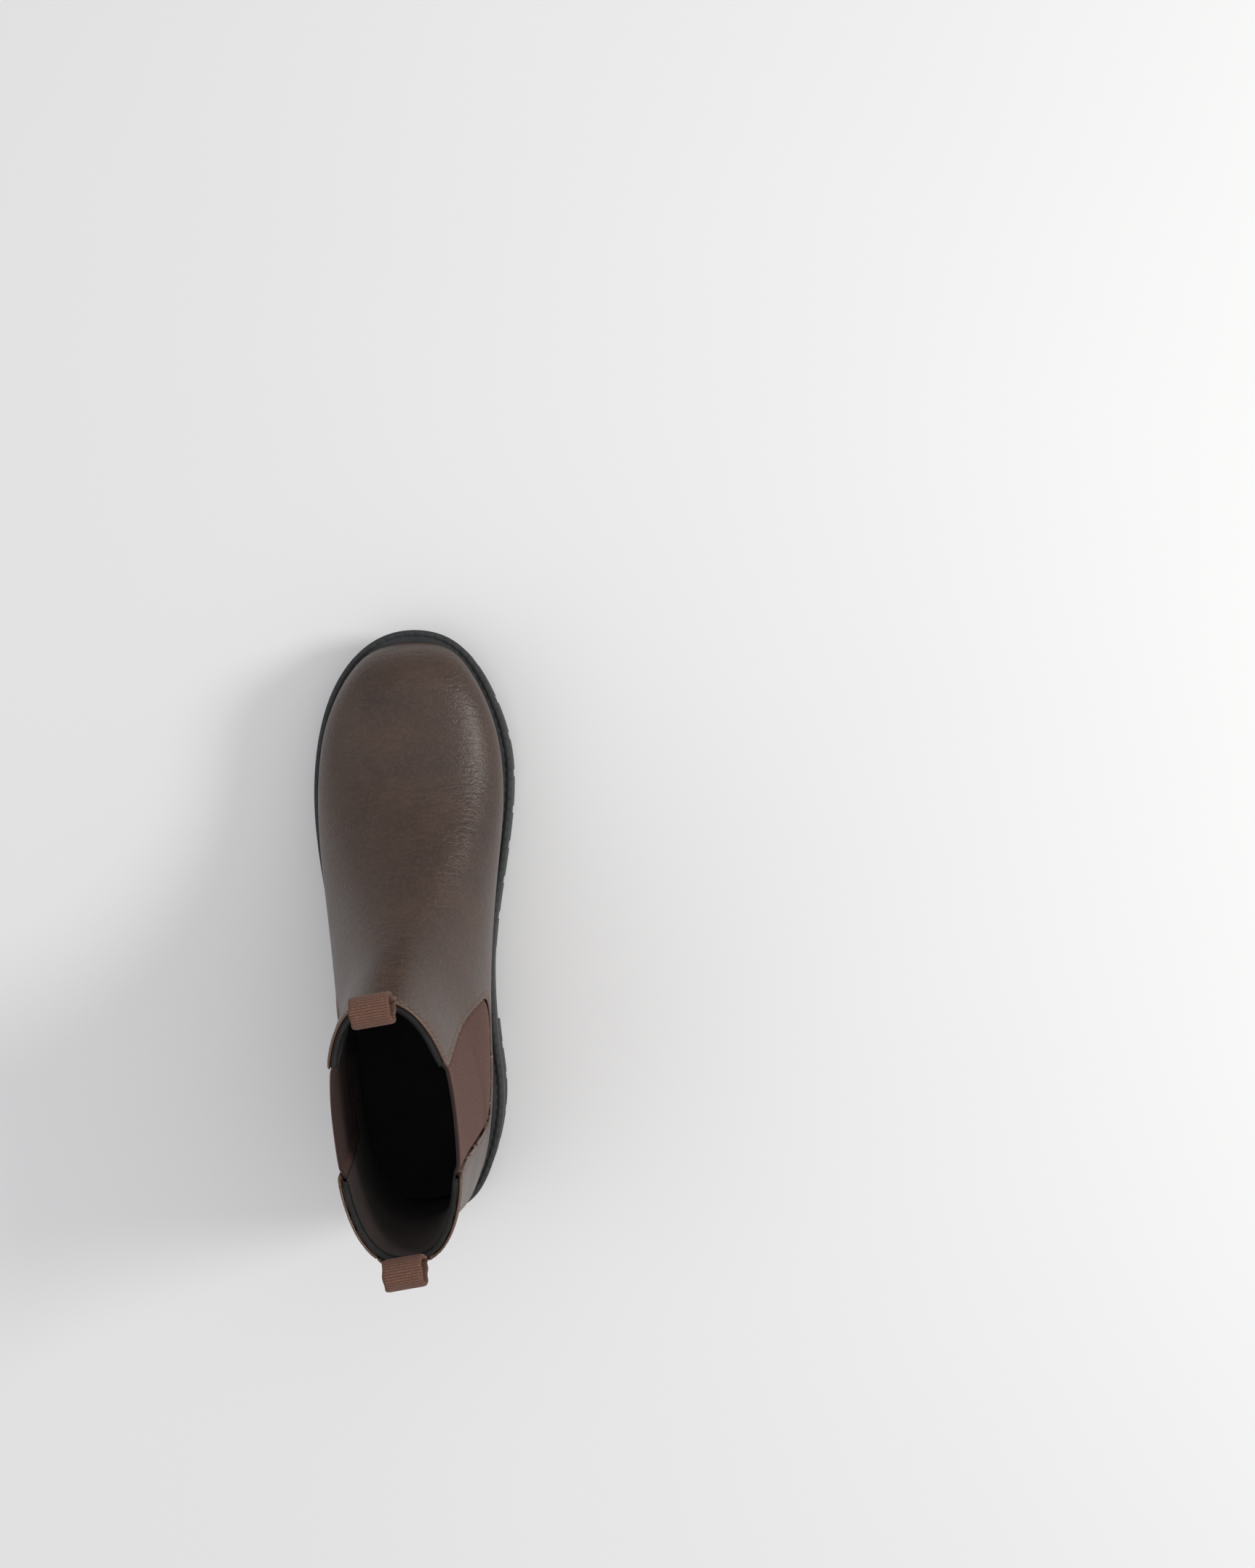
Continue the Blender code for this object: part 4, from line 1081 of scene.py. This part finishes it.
def make_linings(grid, normals):
    """The linings, and the dark tape that binds them to the leather round the collar."""
    front_line = (
        (WAY_OUT, DEEP, 0), (WAY_OUT, 300, 0), (FRONT_TOPLINE_END[0], FRONT_TOPLINE_END[1] - LINING_DROP, 0),
        (FRONT_FLAP_CORNER[0] + 1.5, FRONT_FLAP_CORNER[1] - LINING_DROP, 6), (GORE[3][0] + 1, GORE[3][1], 0),
        (GORE[2][0] + 1, GORE[2][1], 0), (*SEAM_TOP, 0), (SEAM_FOOT_Y, DEEP, 0),
    )
    back_line = (
        (-WAY_OUT, DEEP, 0), (SEAM_FOOT_Y, DEEP, 0), (*SEAM_TOP, 0), (GORE[1][0] - 1, GORE[1][1], 20),
        (BACK_FLAP_CORNER[0] - 1.5, BACK_FLAP_CORNER[1] - LINING_DROP, 5),
        (-WAY_OUT, BACK_FLAP_CORNER[1] - LINING_DROP, 0),
    )
    for name, node, line, look in (
        ("front_lining", "vamp_lining", front_line, "black_lining"),
        ("back_lining", "quarter_lining", back_line, "brown_lining"),
    ):
        panel = Panel(grid, normals, [inside_of(rounded(line))], LINING_DEPTH)
        panel.trim()
        panel.refine("edge", EDGE_ROLL)
        finish_piece(panel.to_object(name, LINING), node, MATERIALS[look])
    for end, outline, band in (
        ("front", vamp_region(), FRONT_TAPE_BAND),
        ("back", quarter_region(), BACK_TAPE_BAND),
    ):
        regions = [lambda p: inside_of(outline)(p) - TAPE_INSET, inside_of(rounded(band))]
        panel = Panel(grid, normals, regions, TAPE_DEPTH)
        panel.trim()
        panel.refine("edge", EDGE_ROLL)
        panel.raise_by("edge", TAPE_ROLL)
        tape = panel.to_object(f"{end}_collar_tape", TAPE)
        finish_piece(tape, f"{end}_edge_tape", MATERIALS["edge_tape"])


def make_gores(grid):
    """The elastics: ribs along the boot, a hem of two ridges at the top, edges tucked under the leather."""
    surface = BVHTree.FromPolygons([tuple(p) for p in grid.reshape(-1, 3)], grid_faces(*grid.shape[:2]))
    outline = rounded(GORE)
    low_z = outline[:, 1].min() - GORE_BEYOND
    ribs = round((GORE_RIBS_END_Z - low_z) / GORE_RIB)
    rows, columns = ribs * GORE_SAMPLES_PER_RIB + 1, GORE_COLUMNS
    ys = np.linspace(outline[:, 0].min() - GORE_BEYOND, outline[:, 0].max() + GORE_BEYOND, columns)
    share = np.linspace(0, 1, rows)
    top_at = np.interp(ys, (outline[0][0], outline[-1][0]), (outline[0][1], outline[-1][1]))
    zs = low_z + np.outer(share, top_at - low_z)
    view = np.stack((np.broadcast_to(ys, zs.shape), zs), -1).reshape(-1, 2)
    open_top = np.vstack((outline, [(outline[-1][0], WAY_OUT * MM), (outline[0][0], WAY_OUT * MM)]))
    inside = signed_distance(view, open_top).reshape(zs.shape)
    for side, sign in SIDES.items():
        outer, inner, rib_heights = [], [], []
        for r in range(rows):
            for c in range(columns):
                start = Vector((sign * 0.2, ys[c], zs[r, c]))
                hit, normal, _, _ = surface.ray_cast(start, Vector((-sign, 0, 0)))
                if hit is None:
                    hit, normal = Vector((sign * 0.03, ys[c], zs[r, c])), Vector((sign, 0, 0))
                if normal.x * sign < 0:
                    normal = -normal
                below_top = (1 - share[r]) * (top_at[c] - low_z)
                rib = abs(math.sin(math.pi * share[r] * ribs))
                if below_top < GORE_HEM:
                    rib = abs(math.sin(math.pi * (below_top / GORE_HEM) * 2)) ** 0.6
                tuck = float(np.clip(1 - inside[r, c] / GORE_TUCK_REACH, 0, 1))
                depth = GORE_RECESS + (GORE_TUCK - GORE_RECESS) * tuck**1.5 + GORE_RIB_DEPTH * (1 - rib)
                depth += GORE_LIP_DEPTH * max(0.0, 1 - below_top / GORE_LIP)
                outer.append(hit - normal * depth)
                inner.append(hit - normal * (depth + ELASTIC))
                rib_heights.append(rib)
        body = ribbed_sheet(f"gore_{side}_elastic", rows, columns, outer + inner, rib_heights * 2)
        finish_piece(body, f"gore_{side}", MATERIALS["elastic"])


# ---------------------------------------------------------------- pull loops


def teardrop_path(step):
    """The middle of a ribbon in its own plane: up from the root, round a teardrop and down, evenly spaced."""
    end_r = LOOP_END_R - RIBBON / 2
    lean = math.asin((end_r - LOOP_BASE_R) / LOOP_REACH)
    leg = [
        (LOOP_BASE_R * 0.5, -RIBBON_ROOT), (LOOP_BASE_R * 0.6, -RIBBON_ROOT * 0.4),
        (LOOP_BASE_R * math.cos(lean), -LOOP_BASE_R * math.sin(lean)),
    ]
    angles = [-lean + (math.pi + 2 * lean) * k / 40 for k in range(41)]
    arc = [(end_r * math.cos(angle), LOOP_REACH + end_r * math.sin(angle)) for angle in angles]
    points = np.array(leg + arc + [(-a, b) for a, b in reversed(leg)])
    lengths = run_lengths(points)
    at = np.linspace(0, lengths[-1], round(lengths[-1] / step) + 1)
    return read_along(at, lengths, points), at


def make_loop(name, place):
    """A grosgrain ribbon folded into a loop and leaned a little, built round the joint's pivot at the seam, where
    its root goes into the collar.
    """
    joint = next(j for j in frame["joints"] if j["child"] == place["body"])
    pivot = Vector(joint["pos_m"])
    path, at = teardrop_path(RIBBON_RIB / 6)
    along = np.gradient(path, axis=0)
    along /= np.linalg.norm(along, axis=1)[:, None]
    out = np.stack((along[:, 1], -along[:, 0]), 1)
    rib = np.abs(np.sin(math.pi * at / RIBBON_RIB)) ** 0.7
    lean = place["lean"]
    turn = Matrix.Rotation(LOOP_YAW, 3, "Z")
    vertices, ribs = [], []
    for face_side in (1, -1):
        for k, (point, away) in enumerate(zip(path, out)):
            for across in np.linspace(-1, 1, RIBBON_SAMPLES):
                edge = max(0.0, abs(across) - 0.9) / 0.1
                thick = RIBBON / 2 * (1 - 0.45 * edge**2) - 0.16 * MM * (1 - rib[k])
                spot = point + away * thick * face_side
                sway = 0.35 * MM * math.sin(point[1] / LOOP_REACH * 1.3 + 0.6)
                y = spot[0] * math.cos(lean) - spot[1] * math.sin(lean)
                z = spot[0] * math.sin(lean) + spot[1] * math.cos(lean)
                width = LOOP_WIDTH / 2 * (1 + 0.02 * math.sin(at[k] * 900))
                vertices.append(pivot + turn @ Vector((across * width + sway, y, z)))
                ribs.append(rib[k])
    body = ribbed_sheet(f"{name}_ribbon", len(path), RIBBON_SAMPLES, vertices, ribs)
    finish_piece(body, name, MATERIALS["ribbon"], None)
    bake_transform(body)


# ---------------------------------------------------------------- the sole


def sole_ring(clearance, steps=144):
    """The sole's outline moved in by clearance, as matched pairs of points: (y, lateral x, medial x)."""
    ring = inset(closed_spline(SOLE_OUTLINE, 720), clearance)
    ring = np.roll(ring, -ring[:, 1].argmax(), 0)
    turn = int(ring[:, 1].argmin())
    first, second = ring[: turn + 1], np.vstack((ring[turn:], ring[:1]))
    if first[:, 0].mean() < second[:, 0].mean():
        first, second = second, first
    medial = first[first[:, 1].argsort()]
    lateral = second[second[:, 1].argsort()]
    share = (1 - np.cos(np.linspace(0, math.pi, steps))) / 2
    ys = ring[:, 1].min() + share * np.ptp(ring[:, 1])
    left = np.interp(ys, lateral[:, 1], lateral[:, 0])
    right = np.interp(ys, medial[:, 1], medial[:, 0])
    return ys, left, right


def flat_level(z):
    """A height that is the same all along the boot."""
    return lambda y: 0 * y + z


def sole_layer(name, section, node, material, to_y=None, steps=144, across=10):
    """A slab of the sole, as far forward as to_y.

    section lists, from the edge of its foot to the edge of its top: how far in from the sole's outline, in
    millimetres, a height function, and the height over that in millimetres."""
    vertices, faces = [], []

    def point(*values):
        vertices.append(tuple(float(v) for v in values))
        return len(vertices) - 1

    loops, walls = [], []
    for clearance, height, rise in section:
        ys, left, right = sole_ring(clearance * MM, steps)
        if to_y is not None:
            fresh = ys[0] + (to_y - ys[0]) * (1 - np.cos(np.linspace(0, 1, steps) * math.pi / 2))
            left, right = np.interp(fresh, ys, left), np.interp(fresh, ys, right)
            ys = fresh
        z = height(ys) + rise * MM
        loops.append((ys, left, right, z))
        walls.append([[point(edge[k], ys[k], z[k]) for k in range(steps)] for edge in (left, right)])
    for low, high in zip(walls, walls[1:]):
        for k in range(steps - 1):
            faces.append((low[0][k], low[0][k + 1], high[0][k + 1], high[0][k]))
            faces.append((low[1][k + 1], low[1][k], high[1][k], high[1][k + 1]))
        for k in (0, steps - 1):
            faces.append((low[0][k], high[0][k], high[1][k], low[1][k]))
    for (ys, left, right, z), wall in ((loops[0], walls[0]), (loops[-1], walls[-1])):
        rows = []
        for k in range(steps):
            width = right[k] - left[k]
            inner = [point(left[k] + width * j / across, ys[k], z[k]) for j in range(1, across)]
            rows.append([wall[0][k], *inner, wall[1][k]])
        for a, b in zip(rows, rows[1:]):
            faces += [(a[j], a[j + 1], b[j + 1], b[j]) for j in range(across)]
    body = add_mesh(name, vertices, faces)
    clean(body.data, 0.02 * MM, 0.002 * MM, close=True)
    body.data.set_sharp_from_angle(angle=math.radians(50))
    return finish_piece(body, node, material)


def ring_by_length(clearance, pitch):
    """The sole's outline moved in by clearance, as evenly spaced points, and the way out at each."""
    ring = inset(closed_spline(SOLE_OUTLINE, 1440), clearance)
    closed = np.vstack((ring, ring[:1]))
    lengths = run_lengths(closed)
    count = round(lengths[-1] / pitch)
    points = read_along(np.arange(count) * lengths[-1] / count, lengths, closed)
    ahead = np.roll(points, -1, 0) - np.roll(points, 1, 0)
    ahead /= np.linalg.norm(ahead, axis=1)[:, None]
    out = np.stack((ahead[:, 1], -ahead[:, 0]), 1)
    if np.sum(out * points) < 0:
        out = -out
    return points, out


def make_welt():
    """The welt: a rounded rim, and inside it a bead pressed into short lengths like a row of stitches."""
    samples_per_bead = 10
    pitch = BEAD_PITCH / samples_per_bead
    points, out = ring_by_length(0, pitch)
    count = len(points) // samples_per_bead * samples_per_bead
    points, out = points[:count], out[:count]
    phase = np.abs(np.sin(math.pi * np.arange(count) / samples_per_bead)) ** 0.55
    vertices = []
    for (x, y), (nx, ny), bump in zip(points, out, phase):
        base = float(feather(y))
        for inward, height in WELT_PROFILE:
            lift = (bump - 0.75) * BEAD_HEIGHT if BEAD_BAND[0] <= inward <= BEAD_BAND[1] else 0
            reach = inward * MM
            vertices.append((x - nx * reach, y - ny * reach, base + (height + lift) * MM))
    sides = len(WELT_PROFILE)
    faces = []
    for r in range(count):
        ahead = (r + 1) % count
        for k in range(sides):
            nxt = (k + 1) % sides
            faces.append((r * sides + k, ahead * sides + k, ahead * sides + nxt, r * sides + nxt))
    body = add_mesh("welt_rim", vertices, faces)
    finish_piece(body, "welt", MATERIALS["welt_rubber"])


def lug(edit, corner_at, steps=6):
    """A block whose eight corners and edges follow corner_at(u, v, w), each of u, v, w from 0 to 1."""
    made = {}
    for i in range(steps + 1):
        for j in (0, 1, 2, 3):
            for k in (0, 1):
                made[i, j, k] = edit.verts.new(corner_at(i / steps, j / 3, k))

    def quad(*keys):
        edit.faces.new([made[key] for key in keys])

    for i in range(steps):
        for j in range(3):
            quad((i, j, 0), (i, j + 1, 0), (i + 1, j + 1, 0), (i + 1, j, 0))
            quad((i, j, 1), (i + 1, j, 1), (i + 1, j + 1, 1), (i, j + 1, 1))
        quad((i, 0, 0), (i + 1, 0, 0), (i + 1, 0, 1), (i, 0, 1))
        quad((i, 3, 0), (i, 3, 1), (i + 1, 3, 1), (i + 1, 3, 0))
    for j in range(3):
        quad((0, j, 0), (0, j, 1), (0, j + 1, 1), (0, j + 1, 0))
        quad((steps, j, 0), (steps, j + 1, 0), (steps, j + 1, 1), (steps, j, 1))


def make_lugs(name, notches, first_y, last_y, foot, depth, node):
    """The tread blocks under one part of the sole: side lugs between notches, and bars between them."""
    ys, left, right = sole_ring(0, 400)
    edit = bmesh.new()
    cuts = [y * MM for y in notches if first_y < y * MM < last_y]
    edges = [first_y] + [y + s * NOTCH / 2 for y in cuts for s in (-1, 1)] + [last_y]
    spans = list(zip(edges[::2], edges[1::2]))

    def block(y0, y1, start, end):
        """One block from y0 to y1. start and end are its sides: an edge of the sole and a share of its x."""

        def corner(u, v, w):
            y = y0 + (y1 - y0) * u
            low, high = (float(np.interp(y, ys, edge)) * share for edge, share in (start, end))
            return (low + (high - low) * v, y, float(foot(y)) + (depth + LUG_LAP) * w)

        lug(edit, corner)

    for y0, y1 in spans:
        if y1 - y0 > 2 * MM:
            for edge in (right, left):
                block(y0, y1, (edge, 1 - SIDE_LUG_SHARE + CHANNEL_SHARE), (edge, 1.0))
    centres = [(a + b) / 2 for a, b in spans]
    for a, b in zip([first_y] + centres, centres + [last_y]):
        y0, y1 = a + NOTCH / 2, b - NOTCH / 2
        if y1 - y0 > 4 * MM:
            bar_share = 1 - SIDE_LUG_SHARE - CHANNEL_SHARE
            block(y0, y1, (left, bar_share), (right, bar_share))
    bmesh.ops.recalc_face_normals(edit, faces=edit.faces)
    mesh = bpy.data.meshes.new(name)
    edit.to_mesh(mesh)
    edit.free()
    mesh.shade_smooth()
    body = add_object(name, mesh)
    round_off = body.modifiers.new("rounded", "BEVEL")
    round_off.width = LUG_ROUND
    round_off.segments = 2
    round_off.limit_method = "ANGLE"
    round_off.angle_limit = math.radians(40)
    mesh.set_sharp_from_angle(angle=math.radians(60))
    finish_piece(body, node, MATERIALS["rubber"])


def wall_top(y):
    return feather(y) - WELT_THICK - LAYER_GAP


def wall_middle(y):
    return (midsole_foot(y) + wall_top(y)) / 2


def plate_top(y):
    return midsole_foot(y) - LAYER_GAP


def plate_foot(y):
    """The foot of the outsole's plate: ahead of TREAD_BACK_Y, the tread's depth above the lugs' feet."""
    tread = np.where(y > TREAD_BACK_Y, TREAD_DEPTH, 0) * np.clip((y - TREAD_BACK_Y) / (4 * MM), 0, 1)
    return np.minimum(outsole_foot(y) + tread, plate_top(y) - 2.5 * MM)


def make_sole():
    """Welt, midsole, outsole and heel, with rounded edges, and lugs under them."""
    make_welt()
    rubber = MATERIALS["rubber"]
    sole_layer("midsole_wall", (
        (1.0, midsole_foot, 0), (0.35, midsole_foot, 0.12), (0.05, midsole_foot, 0.5), (0.25, wall_middle, 0),
        (0.15, wall_top, -0.5), (0.5, wall_top, -0.1), (1.0, wall_top, 0),
    ), "midsole", rubber)
    sole_layer("outsole_plate", (
        (0.6, plate_foot, 0), (0.1, plate_foot, 0.3), (0, plate_top, -0.9), (0.3, plate_top, -0.25),
        (0.9, plate_top, 0),
    ), "outsole", rubber)
    lugs_from = TREAD_BACK_Y + 1.0 * MM
    make_lugs("forefoot_lugs", FORE_NOTCHES, lugs_from, TREAD_END_Y, outsole_foot, TREAD_DEPTH, "outsole")
    heel_foot, heel_top = flat_level(HEEL_TREAD_DEPTH), flat_level(HEEL_TOP_Z)
    sole_layer("heel_plate", (
        (0.5, heel_foot, 0), (0.1, heel_foot, 0.3), (0, heel_top, -0.7), (0.25, heel_top, -0.2),
        (0.8, heel_top, 0),
    ), "heel_block", rubber, HEEL_FRONT_Y)
    ground = flat_level(0)
    make_lugs("heel_lugs", HEEL_NOTCHES, -TREAD_END_Y, HEEL_FRONT_Y, ground, HEEL_TREAD_DEPTH, "heel_block")


def make_sock():
    """The sock liner: a thin padded sheet whose edges turn up to meet the lining."""
    section = [(clearance, feather, height) for clearance, height in SOCK_PROFILE]
    body = sole_layer("sock_liner_pad", section, "sock_liner", MATERIALS["sock"], steps=110)


def dress_hidden_nodes():
    """What is sealed inside keeps its CAD shape and gets its own material."""
    looks = {
        "forefoot_filler": "cork", "shank": "steel", "insole_board": "board", "footbed_foam": "foam",
        "toe_puff": "thermoplastic", "heel_counter": "thermoplastic",
    }
    for node, look in looks.items():
        for held in frame["nodes"][node].material_slots:
            held.material = MATERIALS[look]


# ---------------------------------------------------------------- stage


def make_stage():
    """A pale floor, a wide soft light from the medial side, a fill, and a camera that looks straight down."""
    bpy.ops.mesh.primitive_plane_add(size=6)
    floor = bpy.context.object
    floor.name = "floor"
    pale = material("floor_paper", 0.9)
    n = Nodes(pale)
    n.finish(n.mix(n.noise(3, 2, 0.5), (0.80, 0.80, 0.80), (0.83, 0.83, 0.83)))
    floor.data.materials.append(pale)
    for name, place, size, power, colour in LIGHTS:
        lamp = bpy.data.lights.new(name, "AREA")
        lamp.shape = "DISK"
        lamp.size = size
        lamp.energy = power
        lamp.color = colour
        holder = add_object(name, lamp)
        holder.location = place
        holder.rotation_euler = (Vector(LIGHTS_AIM) - Vector(place)).to_track_quat("-Z", "Y").to_euler()
    world = bpy.data.worlds.new("studio")
    world.use_nodes = True
    world.node_tree.nodes["Background"].inputs["Color"].default_value = WORLD_COLOUR
    world.node_tree.nodes["Background"].inputs["Strength"].default_value = WORLD_STRENGTH
    bpy.context.scene.world = world
    bpy.context.scene.view_settings.view_transform = "Standard"
    lens = bpy.data.cameras.new("camera")
    lens.lens = CAMERA_LENS
    lens.sensor_width = 36
    lens.clip_start = 0.01
    camera = add_object("camera", lens)
    camera.location = CAMERA_PLACE
    camera.rotation_euler = (0, 0, CAMERA_TURN)
    bpy.context.scene.camera = camera


make_stage()
outer_grid = upper_grid(LEATHER_ROWS, LEATHER_COLUMNS)
outer_normals = outward_normals(outer_grid)
outer_normals *= math.copysign(1, outer_normals[LEATHER_ROWS // 2, LEATHER_COLUMNS, 2])
make_sole()
make_sock()
make_leather(outer_grid, outer_normals)
make_linings(outer_grid, outer_normals)
make_gores(outer_grid)
for loop_name, loop_place in LOOPS.items():
    make_loop(loop_name, loop_place)
dress_hidden_nodes()
